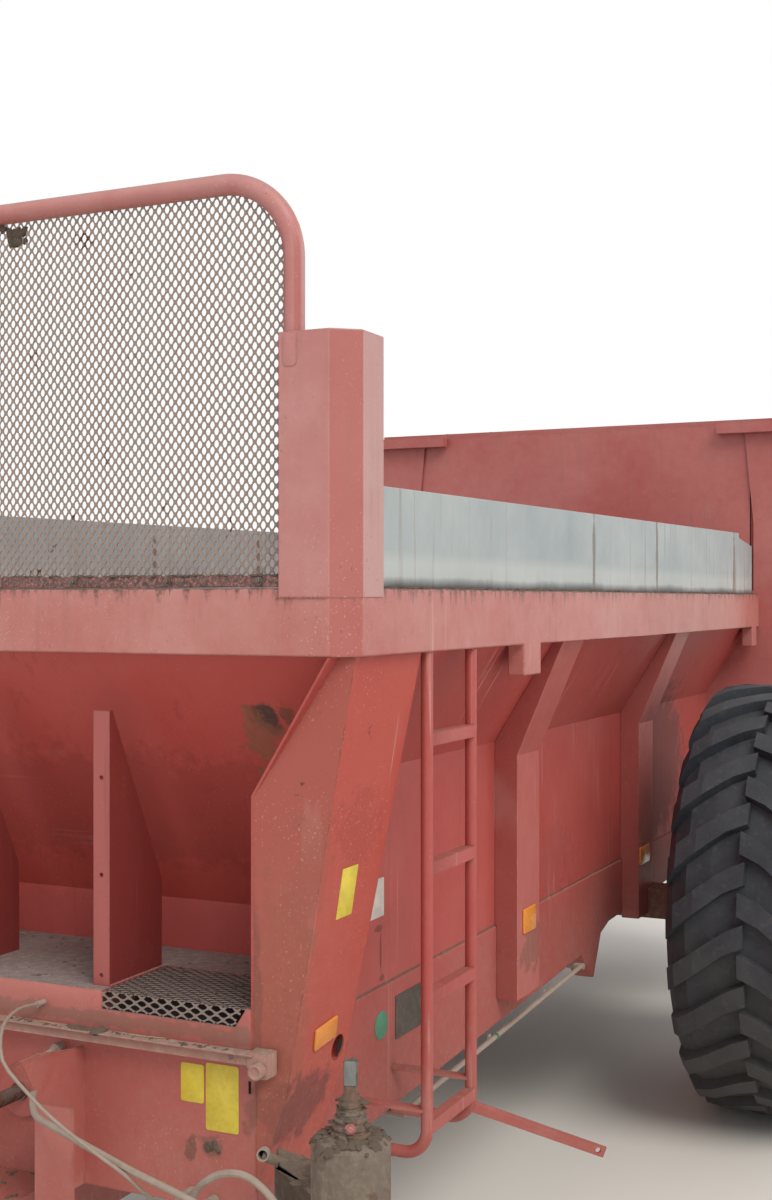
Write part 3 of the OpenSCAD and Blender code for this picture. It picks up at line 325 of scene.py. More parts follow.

# %% [markdown]
# ## Stains and painted shade that sit in one place
# Some marks belong to one spot: a dark patch behind a rib, a rubbed patch of rust. The same mask also paints light
# and shade in one spot: a paler band of painted light on the recess's foot, a band of painted shade across the
# recess, and thin painted shadow lines along the rim under the boards and along the cheeks' inner edges. A distance
# from the spot's middle, measured in units of the spot's own size, gives an egg-shaped mask, and noise breaks its
# rim. A size of several metres along one axis turns the egg into a band that follows the sheet.

# %% Group: local stain
tree, given, result = new_group(
    "local_stain_and_shade",
    {"Centre": ("Vector", (0, 0, 0)), "Size": ("Vector", (1, 1, 1)),
     "Ragged": ("Float", 0.8), "Scale": ("Float", 20.0)},
    {"Mask": ("Float", None)})
where = object_place(tree)
away = add(tree, "VectorMath", {0: where, 1: given["Centre"]}, operation="SUBTRACT").outputs["Vector"]
share = add(tree, "VectorMath", {0: away, 1: given["Size"]}, operation="DIVIDE").outputs["Vector"]
reach = add(tree, "VectorMath", {0: share}, operation="LENGTH").outputs["Value"]
cloudy = minus(tree, noise(tree, where, given["Scale"], 7.0, 0.65), 0.5)
reach = plus(tree, reach, times(tree, cloudy, times(tree, given["Ragged"], 4.0)))
tree.links.new(remap(tree, reach, 1.05, 0.72), result["Mask"])
stain_and_shade_group = tree
print("local_stain_and_shade has", len(stain_and_shade_group.nodes), "nodes")

# %% [markdown]
# ## Drips and flecks
# Two small effects finish the paint. Drips start at a given height and reach down by a length that streaky
# noise chooses, so each column ends somewhere else. Flecks are tiny pale and dark dots, where grit has hit
# the paint or has stuck to it.

# %% Groups: drips, flecks
tree, given, result = new_group(
    "drips", {"Top": ("Float", 2.0), "Length": ("Float", 0.05)}, {"Mask": ("Float", None)})
where = object_place(tree)
height = height_of(tree, where)
column = noise(tree, stretched(tree, where, (38.0, 38.0, 2.0)), 1.0, 5.0, 0.65)
reach = times(tree, remap(tree, column, 0.44, 0.74), given["Length"])
end = minus(tree, given["Top"], reach)
mask = sums(tree, "DIVIDE", minus(tree, height, end), plus(tree, reach, 0.004))
grit = remap(tree, noise(tree, where, 120.0, 4.0, 0.7), 0.30, 0.62)
mask = times(tree, remap(tree, mask, 0.0, 0.7), grit)
tree.links.new(mask, result["Mask"])
drip_group = tree

tree, given, result = new_group(
    "flecks", {"Amount": ("Float", 0.5)}, {"Pale": ("Float", None), "Dark": ("Float", None)})
where = object_place(tree)
clusters = remap(tree, noise(tree, where, 4.0, 4.0, 0.6), 0.40, 0.62)
for output, scale, low in (("Pale", 170.0, 0.655), ("Dark", 95.0, 0.69)):
    dots = remap(tree, noise(tree, where, scale, 2.0, 0.5), low, low + 0.03)
    dots = times(tree, dots, clusters, given["Amount"])
    tree.links.new(dots, result[output])
fleck_group = tree
print("drips and flecks ready")

# %% [markdown]
# ## Painted steel
# One function lays the layers in the order in which they came: paint, bleaching, stains, worn edges down to rust,
# rust spots, then dirt on top. Some stains and the facing tones also paint light and shade: shadow lines and bands, a
# paler lit band, and faces darker or lighter by the way they face the light. Every painted piece calls it with its
# own colours and amounts.

# %% Painted steel
MUD = rgba(112, 97, 82)
DRY_MUD = rgba(146, 132, 116)


def group_node(tree, group, inputs):
    """The outputs of a group placed in a material."""
    node = tree.nodes.new("ShaderNodeGroup")
    node.node_tree = group
    return feed(tree, node, inputs).outputs


def new_finish(name):
    """A new material, its node tree and its shader."""
    material = bpy.data.materials.new(name)
    material.use_nodes = True
    return material, material.node_tree, material.node_tree.nodes["Principled BSDF"]


def painted_steel(name, paint, chalk, bleach=0.5, scratches=0.5, wear=0.5, rust=0.25, splash=0.5,
                  splash_top=1.2, dust=0.5, runs=0.3, mud=MUD, dry=DRY_MUD, roughness=0.45, flecks=0.22,
                  stains_and_shades=(), facing_tones=(), drips=()):
    """A layered paint: each number is how much of that layer shows.

    A stain is (place, size, colour, strength, how ragged); some stains are painted shadows and painted light in one
    spot. A tone is (facing, colour, strength) for the faces that look that way; on the red pieces tones are painted
    light and shade by facing. A drip is (top, length, colour, strength)."""
    material, tree, shader = new_finish(name)
    coat = group_node(tree, bleach_group, {"Paint": paint, "Chalk": chalk, "Bleach": bleach, "Scratches": scratches})
    colour = coat["Color"]
    covered = coat["Marks"]
    # stains and painted shade in one spot: dirt and rust patches, and also painted shadow lines and bands and a paler
    # band of painted light
    for place, size, mark_colour, strength, ragged in stains_and_shades:
        spot = group_node(tree, stain_and_shade_group, {"Centre": place, "Size": size, "Ragged": ragged})["Mask"]
        spot = times(tree, spot, strength)
        colour = blend_colours(tree, spot, colour, mark_colour)
        covered = largest(tree, covered, spot)
    # facing tones: on the red pieces, painted light and shade that make faces darker or lighter by the way they face
    # the light
    for facing, facing_colour, strength in facing_tones:
        looks = add(tree, "VectorMath", {0: add(tree, "NewGeometry").outputs["Normal"],
                                         1: Vector(facing).normalized()}, operation="DOT_PRODUCT").outputs["Value"]
        colour = blend_colours(tree, remap(tree, looks, 0.93, 0.975, 0.0, strength), colour, facing_colour)
    for top, length, drip, strength in drips:
        run = group_node(tree, drip_group, {"Top": top, "Length": length})["Mask"]
        colour = blend_colours(tree, times(tree, run, strength), colour, drip)
    spots = group_node(tree, fleck_group, {"Amount": flecks})
    colour = blend_colours(tree, times(tree, spots["Pale"], 0.75), colour, rgba(222, 184, 172))
    colour = blend_colours(tree, times(tree, spots["Dark"], 0.85), colour, rgba(84, 54, 46))
    edges = group_node(tree, edge_group, {"Width": 0.007, "Amount": wear})
    rusty = group_node(tree, rust_group, {"Spread": rust, "Scale": 7.0})
    dirt = group_node(tree, dirt_group, {"Splash Top": splash_top, "Splash": splash, "Dust": dust, "Runs": runs})
    bare = largest(tree, edges["Mask"], rusty["Mask"])
    colour = blend_colours(tree, bare, colour, rusty["Color"])
    mud_colour = blend_colours(tree, dirt["Clods"], mud, dry)
    colour = blend_colours(tree, dirt["Mask"], colour, mud_colour)
    dull = remap(tree, largest(tree, bare, dirt["Mask"], covered), 0.0, 1.0, roughness, 0.92)
    where = object_place(tree)
    ripple = times(tree, noise(tree, where, 3.0, 2.0, 0.4), 0.9)
    relief = plus(tree, ripple, times(tree, noise(tree, where, 90.0, 4.0, 0.6), 0.05))
    relief = minus(tree, relief, times(tree, bare, 0.05))
    clods = times(tree, dirt["Mask"], dirt["Clods"], 0.30)
    relief = plus(tree, relief, clods)
    feed(tree, shader, {"Base Color": colour, "Roughness": dull, "Normal": bumped(tree, relief, 0.55, 0.006)})
    return material


DARK_RED = rgba(104, 38, 38)
BROWN = rgba(98, 70, 52)
WIDE = 9.0
finishes = {
    "red_paint": painted_steel("faded_red", rgba(168, 66, 60), rgba(190, 116, 109), bleach=0.42, wear=0.55,
                               rust=0.22, splash=0.35, splash_top=1.10, dust=0.45, runs=0.25),
    "rim_paint": painted_steel("chalky_red", rgba(176, 100, 95), rgba(200, 146, 141), bleach=0.72, scratches=0.7,
                               wear=0.55, rust=0.22, splash=0.20, splash_top=1.0, dust=0.55, runs=0.22, flecks=0.5,
                               # painted light and shade by facing: the chamfers darker, and the faces that look left
                               # paler, a painted reflection of the bright sky
                               facing_tones=(((1, 1, 0), rgba(168, 92, 84), 0.75), ((1, -1, 0), rgba(168, 92, 84), 0.75),
                                      ((0, 1, 0), rgba(192, 160, 156), 0.5))),
    "dark_paint": painted_steel("dull_red", rgba(124, 42, 37), rgba(142, 70, 62), bleach=0.3, wear=0.4,
                                rust=0.45, splash=0.8, splash_top=1.7, dust=0.75, runs=0.5, roughness=0.6),
    "grimy_steel": painted_steel("grimy_steel", rgba(98, 86, 77), rgba(126, 114, 102), bleach=0.5, wear=0.7,
                                 rust=0.70, splash=0.8, splash_top=1.9, dust=0.85, runs=0.4, roughness=0.7),
    "wheel_paint": painted_steel("wheel_red", rgba(140, 56, 49), rgba(176, 100, 92), bleach=0.35, wear=0.6, rust=0.5,
                                 splash=0.9, splash_top=1.7, dust=0.6, runs=0.3, roughness=0.55),
}
print("painted finishes:", sorted(finishes))

# %% [markdown]
# ## Pieces with marks of their own
# The recess keeps the deepest red, because rain and sun hardly reach it, and its runs are dark red; dark and brown
# patches sit high in its corner by the cheek. A band of painted shade darkens the middle of its wall, and its upright
# foot, which faces the light, gets a paler band of painted light. The side wall is dark behind the rear rib, the
# cheeks are peppered with brown, the platform is red in front and caked grey on top, and the gearboxes are greasy.

# %% Finishes of single pieces
own_finish = {
    "front_wall": painted_steel(
        "recess_red", rgba(182, 68, 60), rgba(188, 88, 80), bleach=0.4, scratches=0.25, wear=0.3, rust=0.12,
        splash=0.0, dust=0.0, runs=0.35, mud=DARK_RED, dry=rgba(122, 50, 47), roughness=0.5,
        # painted light and shade: the first band is paler where the upright foot faces the light, the second darkens
        # the middle of the wall as painted shade
        stains_and_shades=((at(-0.445, 0, 1.08), (0.05, WIDE, 0.075), rgba(158, 74, 70), 0.40, 0.5),
                (at(-0.26, 0, 1.40), (WIDE, WIDE, 0.16), DARK_RED, 0.26, 0.5),
                (at(-0.135, 0.585, 1.655), (0.09, 0.042, 0.045), rgba(78, 58, 54), 0.95, 0.6),
                (at(-0.170, 0.560, 1.600), (0.10, 0.052, 0.085), rgba(140, 88, 66), 0.75, 0.8),
                (at(-0.128, 0.640, 1.670), (0.09, 0.030, 0.030), BROWN, 0.7, 0.8))),
    "step_platform": painted_steel(
        "caked_platform", rgba(176, 88, 79), rgba(194, 128, 118), bleach=0.55, scratches=0.4, wear=0.5, rust=0.2,
        splash=0.4, splash_top=1.05, dust=2.6, runs=0.3, mud=rgba(128, 114, 109), dry=rgba(158, 147, 141),
        roughness=0.6, flecks=0.3, stains_and_shades=((at(0, 0.0, 0.955), (0.02, WIDE, 0.020), rgba(128, 96, 80), 0.55, 0.8),)),
    "corner_cheeks": painted_steel(
        "speckled_red", rgba(178, 66, 54), rgba(190, 104, 92), bleach=0.38, scratches=0.5, wear=0.7, rust=0.34,
        splash=0.30, splash_top=1.3, dust=0.3, runs=0.06, mud=rgba(138, 94, 74), dry=rgba(180, 128, 110),
        # painted shade: the tone darkens the strip that faces forward
        roughness=0.62, flecks=0.5, facing_tones=(((1, 0.12, 0), rgba(152, 84, 72), 0.65),),
        stains_and_shades=((at(-0.02, 0.70, 1.02), (0.05, 0.10, 0.30), rgba(150, 90, 68), 0.45, 0.9),
                (at(-0.18, 0.775, 1.40), (0.12, 0.1, 0.10), rgba(150, 62, 50), 0.3, 0.6),
                (at(-0.03, 0.78, 1.30), (0.05, 0.10, 0.16), rgba(150, 86, 70), 0.35, 0.9),
                # painted shadow: a thin dark line along the inner edge, in the gap between the cheek and the recess
                (at(0, 0.630, 1.00), (0.20, 0.022, 0.27), rgba(86, 60, 52), 0.85, 0.35),
                (at(-0.10, 0.70, 0.785), (0.14, 0.10, 0.095), rgba(108, 54, 56), 0.75, 0.5))),
    "side_wall_left": painted_steel(
        "side_red", rgba(172, 66, 60), rgba(190, 112, 104), bleach=0.36, scratches=0.55, wear=0.5, rust=0.16,
        splash=0.22, splash_top=1.10, dust=0.4, runs=0.35, mud=rgba(118, 74, 60), dry=rgba(150, 116, 102),
        stains_and_shades=((at(-3.35, 0.66, 1.25), (0.46, 0.2, 0.34), rgba(66, 54, 52), 0.60, 0.28),
                (at(-1.95, 0.64, 1.05), (0.30, 0.2, 0.12), rgba(140, 70, 60), 0.35, 0.6),
                (at(-0.652, 0.63, 1.01), (0.007, 0.05, 0.062), rgba(100, 58, 50), 0.75, 0.3),
                (at(-0.640, 0.63, 1.075), (0.024, 0.05, 0.010), rgba(100, 58, 50), 0.7, 0.3),
                (at(-0.660, 0.63, 0.945), (0.017, 0.05, 0.010), rgba(100, 58, 50), 0.7, 0.3))),
    "side_ribs": painted_steel(
        "rib_red", rgba(174, 82, 75), rgba(196, 130, 122), bleach=0.50, scratches=0.45, wear=0.65, rust=0.22,
        # painted shade: the tones darken the ribs' forward-facing sides
        facing_tones=(((1, 0, 0), rgba(138, 58, 54), 0.55), ((1, 0.35, 0), rgba(138, 58, 54), 0.4)),
        splash=0.28, splash_top=1.10, dust=0.4, runs=0.3, mud=rgba(118, 80, 66), dry=rgba(152, 122, 108),
        stains_and_shades=((at(-2.95, 0.71, 1.20), (0.20, 0.12, 0.34), rgba(66, 54, 52), 0.22, 0.3),
                (at(-1.62, 0.71, 0.84), (0.12, 0.1, 0.08), BROWN, 0.5, 0.8))),
    "rim_rail": painted_steel(
        "rim_chalk", rgba(174, 92, 85), rgba(198, 142, 133), bleach=0.78, scratches=0.8, wear=0.6, rust=0.24,
        splash=0.1, splash_top=1.0, dust=0.9, runs=0.3, mud=rgba(112, 88, 78), dry=rgba(150, 126, 116),
        # painted shadow: the thin dark band at the rim's top stands for the shade under the boards' foot, and the
        # chamfer tones are painted shade
        flecks=0.5, stains_and_shades=((at(-2.2, 0.0, 1.951), (WIDE, WIDE, 0.004), rgba(92, 72, 64), 0.7, 0.8),),
        facing_tones=(((1, 1, 0), rgba(168, 90, 82), 0.75), ((1, -1, 0), rgba(168, 90, 82), 0.75)),
        drips=((1.953, 0.085, rgba(84, 60, 54), 0.85), (1.953, 0.022, rgba(66, 50, 46), 0.9))),
    "chassis_rails": painted_steel(
        "rail_red", rgba(166, 68, 62), rgba(184, 110, 102), bleach=0.36, scratches=0.3, wear=0.5, rust=0.3,
        splash=0.45, splash_top=1.10, dust=0.8, runs=0.4, mud=rgba(122, 92, 80), roughness=0.6),
    "front_panel": painted_steel(
        "panel_red", rgba(176, 82, 74), rgba(196, 126, 118), bleach=0.45, scratches=0.4, wear=0.6, rust=0.28,
        splash=0.34, splash_top=1.15, dust=0.7, runs=0.35, mud=rgba(134, 104, 90),
        flecks=0.4, stains_and_shades=((at(0, 0.468, 0.692), (0.05, 0.016, 0.030), BROWN, 0.7, 0.8),
                            (at(0, 0.523, 0.700), (0.05, 0.034, 0.030), rgba(104, 78, 64), 0.6, 0.8),
                            (at(0, 0.66, 0.80), (0.08, 0.045, 0.10), rgba(120, 74, 62), 0.6, 0.8))),
    "front_webs": painted_steel(
        "web_red", rgba(142, 55, 51), rgba(164, 86, 80), bleach=0.42, scratches=0.3, wear=0.5, rust=0.15,
        splash=0.0, dust=0.4, runs=0.3, mud=DARK_RED, dry=rgba(122, 50, 47),
        # painted light and shade: the tones make the forward flanges lighter and the plates' sides darker
        facing_tones=(((1, 0, 0), rgba(176, 96, 90), 0.6), ((0, 1, 0), rgba(118, 46, 43), 0.6),
               ((0, -1, 0), rgba(118, 46, 43), 0.6))),
    "cross_bar": painted_steel(
        "muddy_bar", rgba(170, 112, 100), rgba(190, 148, 134), bleach=0.5, scratches=0.3, wear=0.5, rust=0.45,
        splash=0.75, splash_top=1.5, dust=1.4, runs=0.4, mud=rgba(140, 116, 103), dry=rgba(180, 158, 144),
        roughness=0.7),
    "beater_gearboxes": painted_steel(
        "greasy_casting", rgba(66, 60, 58), rgba(92, 86, 82), bleach=0.4, wear=0.5, rust=0.35, splash=0.5,
        splash_top=1.6, dust=0.9, runs=0.4, roughness=0.55),
}
for node_name in ("rear_bulkhead", "door", "rear_beams", "rear_side_plates"):
    own_finish[node_name] = painted_steel(
        "rear_red_" + node_name, rgba(170, 76, 71), rgba(196, 128, 122), bleach=0.6, scratches=0.6, wear=0.55,
        rust=0.28, splash=0.5, splash_top=1.6, dust=0.8, runs=0.45)
print("own finishes:", sorted(own_finish))

# %% [markdown]
# ## Bare steel and rods
# The conveyor, the eye and the jack's leg are rubbed bright where they touch things and rusty elsewhere.
# The door's rods are hard chrome, wiped clean by their seals, with a thin film of dust. The hoses are beige
# with dust, which the same function makes when its metal is turned off.

# %% Bare steel
def bare_steel(name, colour, roughness, metallic, rust, splash):
    """Metal, or with metallic at 0 rubber and zinc, with rust and mud over it."""
    material, tree, shader = new_finish(name)
    rusty = group_node(tree, rust_group, {"Spread": rust, "Scale": 11.0})
    dirt = group_node(tree, dirt_group, {"Splash Top": 1.4, "Splash": splash, "Dust": splash, "Runs": 0.2})
    where = object_place(tree)
    sheen = noise(tree, stretched(tree, where, (60.0, 60.0, 6.0)), 1.0, 5.0, 0.6)
    shade = blend_colours(tree, sheen, colour, tuple(0.6 * c for c in colour[:3]) + (1.0,))
    shade = blend_colours(tree, rusty["Mask"], shade, rusty["Color"])
    shade = blend_colours(tree, dirt["Mask"], shade, MUD)
    covered = largest(tree, rusty["Mask"], dirt["Mask"])
    feed(tree, shader, {
        "Base Color": shade, "Metallic": remap(tree, covered, 0.0, 1.0, metallic, 0.0),
        "Roughness": remap(tree, covered, 0.0, 1.0, roughness, 0.9),
        "Normal": bumped(tree, plus(tree, sheen, covered), 0.3, 0.002)})
    return material


finishes["bare_steel"] = bare_steel("bare_steel", rgba(150, 144, 138), 0.42, 0.85, 0.9, 0.45)
finishes["dusty_hose"] = bare_steel("dusty_hose", rgba(184, 166, 152), 0.85, 0.0, 0.1, 0.35)
finishes["rod_chrome"] = bare_steel("rod_chrome", rgba(214, 214, 218), 0.12, 1.0, 0.05, 0.12)
dusty_mesh = bare_steel("dusty_mesh", rgba(168, 148, 138), 0.85, 0.0, 0.45, 0.25)
tread_mesh = painted_steel(
    "tread_mesh", rgba(132, 116, 108), rgba(156, 140, 132), bleach=0.4, scratches=0.0, wear=0.0, rust=0.35,
    splash=0.0, dust=0.0, runs=0.2, roughness=0.75, flecks=0.0, facing_tones=(((0, 0, 1), rgba(58, 47, 45), 0.92),))
dark_lump = bare_steel("packed_dirt", rgba(92, 78, 66), 0.95, 0.0, 0.2, 0.6)
# painted shade: a near-black for holes, slots and the space under the tread, where only shade would be seen
painted_shade_black = bare_steel("painted_shade_black", rgba(18, 15, 14), 0.95, 0.0, 0.0, 0.0)
pale_straw = bare_steel("pale_straw", rgba(196, 176, 126), 0.8, 0.0, 0.05, 0.2)
zinc_bolt = bare_steel("dull_zinc", rgba(132, 116, 106), 0.55, 0.5, 0.7, 0.4)
print("finishes so far:", sorted(material.name for material in bpy.data.materials))

# %% [markdown]
# ## Boards
# The side boards are pale grey sheets. Rain has drawn thin rusty runs down them, and the grey itself is
# cloudy, bluer in some places than in others. Joints between the sheets have bled darker.

# %% Boards
def board_finish():
    """Weathered grey with dark vertical runs, a pale strip and a painted shadow at the foot."""
    material, tree, shader = new_finish("weathered_board")
    where = object_place(tree)
    clouds = noise(tree, where, 2.6, 7.0, 0.6)
    base = blend_colours(tree, remap(tree, clouds, 0.3, 0.7), rgba(150, 160, 162), rgba(180, 184, 183))
    drawn = noise(tree, stretched(tree, where, (26.0, 26.0, 0.9)), 1.0, 6.0, 0.6)
    runs = times(tree, remap(tree, drawn, 0.57, 0.70), remap(tree, clouds, 0.42, 0.60))
    height = height_of(tree, where)
    uneven = plus(tree, height, times(tree, clouds, 0.04))
    strip = times(tree, remap(tree, uneven, 2.060, 2.030), remap(tree, uneven, 1.980, 2.000))
    # painted shadow: the lowest two centimetres darken for the shaded gap under the board
    foot = remap(tree, uneven, 1.998, 1.975)
    mark_colour = blend_colours(tree, drawn, rgba(92, 72, 54), rgba(142, 98, 62))
    colour = blend_colours(tree, times(tree, strip, 0.32), base, rgba(214, 212, 202))
    colour = blend_colours(tree, times(tree, runs, 0.80), colour, mark_colour)
    colour = blend_colours(tree, times(tree, foot, 0.9), colour, rgba(66, 54, 48))
    for seam_x in (-1.783, -2.539, -3.808):
        seam = group_node(tree, stain_and_shade_group, {"Centre": at(seam_x, 0.847, 2.08), "Size": (0.018, WIDE, 0.15),
                                              "Ragged": 0.5, "Scale": 16.0})["Mask"]
        colour = blend_colours(tree, times(tree, seam, 0.7), colour, rgba(104, 82, 66))
    relief = plus(tree, noise(tree, where, 4.0, 3.0, 0.5), times(tree, runs, 0.1))
    feed(tree, shader, {"Base Color": colour, "Roughness": remap(tree, runs, 0.0, 1.0, 0.5, 0.85),
                        "Normal": bumped(tree, relief, 0.7, 0.02)})
    return material


finishes["board"] = board_finish()
print("board finish has", len(finishes["board"].node_tree.nodes), "nodes")

# %% [markdown]
# ## Tyre rubber
# Rubber is nearly black, blue-grey where it shines, and brown where mud has dried between the lugs. The
# radius from the wheel's own axle would need one centre for each wheel, so the dust follows noise and the
# facing of the surface instead.

# %% Tyre rubber
def tyre_rubber():
    """Dark rubber with dried mud low down and between the lugs."""
    material, tree, shader = new_finish("tyre_rubber")
    where = object_place(tree)
    dirt = group_node(tree, dirt_group, {"Splash Top": 0.9, "Splash": 0.62, "Dust": 0.28, "Runs": 0.15})
    cloud = noise(tree, where, 5.0, 8.0, 0.65)
    fine = noise(tree, where, 38.0, 5.0, 0.6)
    base = blend_colours(tree, remap(tree, cloud, 0.35, 0.72), rgba(34, 38, 45), rgba(60, 64, 70))
    base = blend_colours(tree, remap(tree, fine, 0.56, 0.74, 0.0, 0.35), base, rgba(92, 90, 88))
    colour = blend_colours(tree, times(tree, dirt["Mask"], 0.6), base, rgba(94, 86, 78))
    feed(tree, shader, {"Base Color": colour, "Roughness": remap(tree, dirt["Mask"], 0.0, 1.0, 0.66, 0.95),
                        "Normal": bumped(tree, noise(tree, where, 60.0, 6.0, 0.7), 0.5, 0.003)})
    return material


finishes["tyre"] = tyre_rubber()
for part in frame["record"]["subparts"]:
    node = nodes[part["node"]]
    node.data.materials.clear()
    node.data.materials.append(own_finish.get(part["node"], finishes[part["material_slot"]]))

# %% [markdown]
# ## Working as by hand
# Operators act on what is selected, so every step first selects exactly what it means. `primitive` starts a
# piece alone, `only` picks one object, `editing` opens it in edit mode with all of it selected, and `pick`
# narrows that to points or faces by a rule. `settle` applies what is live, bakes the place into the mesh,
# gives a finish and lets the piece ride on a body. A baked place matters, because patterns read Object
# coordinates and would slide with an object that is moved instead.

# %% Modelling helpers
def only(obj):
    """Selects one object alone and makes it active."""
    bpy.ops.object.select_all(action="DESELECT")
    obj.hide_set(False)
    obj.select_set(True)
    bpy.context.view_layer.objects.active = obj


def primitive(operator, **fields):
    """A new primitive, the only thing selected."""
    bpy.ops.object.select_all(action="DESELECT")
    operator(**fields)
    return bpy.context.object


@contextmanager
def editing(obj):
    """Edit mode on one object, with all of it selected."""
    only(obj)
    bpy.context.tool_settings.mesh_select_mode = (True, False, False)
    bpy.ops.object.mode_set(mode="EDIT")
    bpy.ops.mesh.select_all(action="SELECT")
    yield
    bpy.ops.object.mode_set(mode="OBJECT")


def pick(obj, rule, kind="vertices"):
    """In edit mode: selects the vertices (or polygons) that pass a rule, and says how many."""
    bpy.context.tool_settings.mesh_select_mode = (kind == "vertices", False, kind == "polygons")
    bpy.ops.mesh.select_all(action="DESELECT")
    bpy.ops.object.mode_set(mode="OBJECT")
    found = 0
    for item in getattr(obj.data, kind):
        item.select = bool(rule(item))
        found += item.select
    bpy.ops.object.mode_set(mode="EDIT")
    return found


def modify(piece, kind, **fields):
    """Adds a modifier, which stays live until apply_all or settle."""
    modifier = piece.modifiers.new(kind.lower(), kind)
    for field, value in fields.items():
        setattr(modifier, field, value)
    return modifier


def apply_all(piece):
    """Applies a piece's modifiers, and its place, turn and size."""
    only(piece)
    for modifier in list(piece.modifiers):
        bpy.ops.object.modifier_apply(modifier=modifier.name)
    bpy.ops.object.transform_apply(location=True, rotation=True, scale=True)
    return piece


def joined(pieces):
    """Several pieces made one."""
    only(pieces[0])
    for piece in pieces[1:]:
        piece.select_set(True)
    if len(pieces) > 1:
        bpy.ops.object.join()
    return pieces[0]


def settle(piece, name, body, finish, angle=30):
    """Applies what is live on a piece, bakes its place and lets it ride on a body."""
    apply_all(piece)
    piece.name = piece.data.name = name
    piece.data.materials.clear()
    piece.data.materials.append(finish)
    bpy.ops.object.shade_smooth_by_angle(angle=math.radians(angle))
    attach(piece, body)
    print(name, "has", len(piece.data.polygons), "faces")
    return piece


def spread(original, places):
    """Copies of one piece, each with its own mesh at its own place, joined into one."""
    copies = []
    for matrix in places:
        copy = original.copy()
        copy.data = original.data.copy()
        copy.data.transform(matrix)
        scene.collection.objects.link(copy)
        copies.append(copy)
    bpy.data.objects.remove(original)
    return joined(copies)


SIDES = ((1, "left"), (-1, "right"))
UP, LEFT, FORWARD = Vector((0, 0, 1)), Vector((0, 1, 0)), Vector((1, 0, 0))
surfaces = {}


def surface(node_name):
    """A CAD node's surface for nearest points and rays. It is kept, because building it takes time."""
    if node_name not in surfaces:
        mesh = nodes[node_name].data
        surfaces[node_name] = BVHTree.FromPolygons([v.co for v in mesh.vertices],
                                                   [list(f.vertices) for f in mesh.polygons])
    return surfaces[node_name]


def seat(node_name, place):
    """The nearest point of a CAD node's surface to a place, and the way out of the surface there."""
    return surface(node_name).find_nearest(place)[:2]


def middle(node_name):
    """The middle of a CAD node's box."""
    low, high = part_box(node_name)
    return (low + high) / 2


def stance(point, normal, turn=0.0, size=(1, 1, 1)):
    """The place of a copy: its Z out of the surface, its Y as upright as the surface lets it be."""
    out = normal.normalized()
    side = UP.cross(out)
    side = side.normalized() if side.length > 0.05 else LEFT
    matrix = Matrix((side, out.cross(side), out)).transposed().to_4x4()
    matrix.translation = point
    return matrix @ Matrix.Rotation(turn, 4, "Z") @ Matrix.Diagonal((*size, 1))


print("modelling helpers ready")

# %% [markdown]
# ## Soft edges on folded steel
# CAD solids have knife-sharp edges, and a sharp edge catches no light. Each sheet-metal node gets a copy
# whose loose triangles are merged and whose edges are bevelled by a few millimetres, so that every fold
# shows the thin highlight that real bent plate has. Hardened normals keep the flats flat: without them the
# shading of the narrow bevel would spill over the long triangles beside it.

# %% Softened copies
def soft_copy(node_name):
    """A merged copy of a CAD node, ready to be reshaped."""
    piece = nodes[node_name].copy()
    piece.data = nodes[node_name].data.copy()
    piece.name = piece.data.name = node_name + "_soft"
    if "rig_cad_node" in piece:
        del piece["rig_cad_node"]
    piece.parent = None
    scene.collection.objects.link(piece)
    with editing(piece):
        bpy.ops.mesh.remove_doubles(threshold=0.00002)
        bpy.ops.mesh.dissolve_limited(angle_limit=math.radians(0.5))
    return piece


def round_edges(piece, node_name, width, segments=2, angle=25, smooth=40):
    """Bevels the sharp edges of a copy and lets it stand for its node.

    Edges sharper than angle degrees are rounded, and folds above smooth degrees are shaded crisp."""
    only(piece)
    bevel = modify(piece, "BEVEL", width=width, segments=segments, limit_method="ANGLE",
                   angle_limit=math.radians(angle), use_clamp_overlap=True, harden_normals=True)
    bpy.ops.object.shade_smooth_by_angle(angle=math.radians(smooth))
    bpy.ops.object.modifier_apply(modifier=bevel.name)
    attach(piece, nodes[node_name]["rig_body"])
    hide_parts(node_name)
    print(piece.name, "has", len(piece.data.polygons), "faces")


CRISP_FOLDS = 3
round_edges(soft_copy("corner_cheeks"), "corner_cheeks", 0.004, smooth=CRISP_FOLDS)
SOFT_EDGES = {"side_ribs": 0.006, "chassis_rails": 0.006, "drawbar": 0.008, "step_platform": 0.003,
              "ladder": 0.002, "side_boards": 0.002, "door": 0.002, "beater_gearboxes": 0.008,
              "cross_members": 0.004}
for node_name, width in SOFT_EDGES.items():
    round_edges(soft_copy(node_name), node_name, width)

# %% [markdown]
# ## Copies that are reshaped first
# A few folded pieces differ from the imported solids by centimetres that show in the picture. Their copies'
# points are picked by their place and moved before the edges are rounded. The posts' feet lap over the
# rim's face. The two webs under the rim taper: a straight edge runs from the top of the flange down and
# back. The stake pockets under the rim are longer, and the middle one goes: its points are lifted to the
# rim's lower face. The gussets of the front panel stand nearer the middle, the jack's bracket is narrower
# and flat on top, the journals of beaters and wheels get a millimetre more room, and the pipe's clips are
# short.

# %% Reshaped copies
def moved(piece, rule, change):
    """Moves the picked points of a copy: change takes a point and gives its new place."""
    count = 0
    for vertex in piece.data.vertices:
        if rule(vertex.co):
            vertex.co = change(vertex.co.copy())
            count += 1
    print(piece.name, "points moved:", count)


def back(point):
    """How far a point lies behind the front rim face."""
    return RIM_FACE_X - point.x


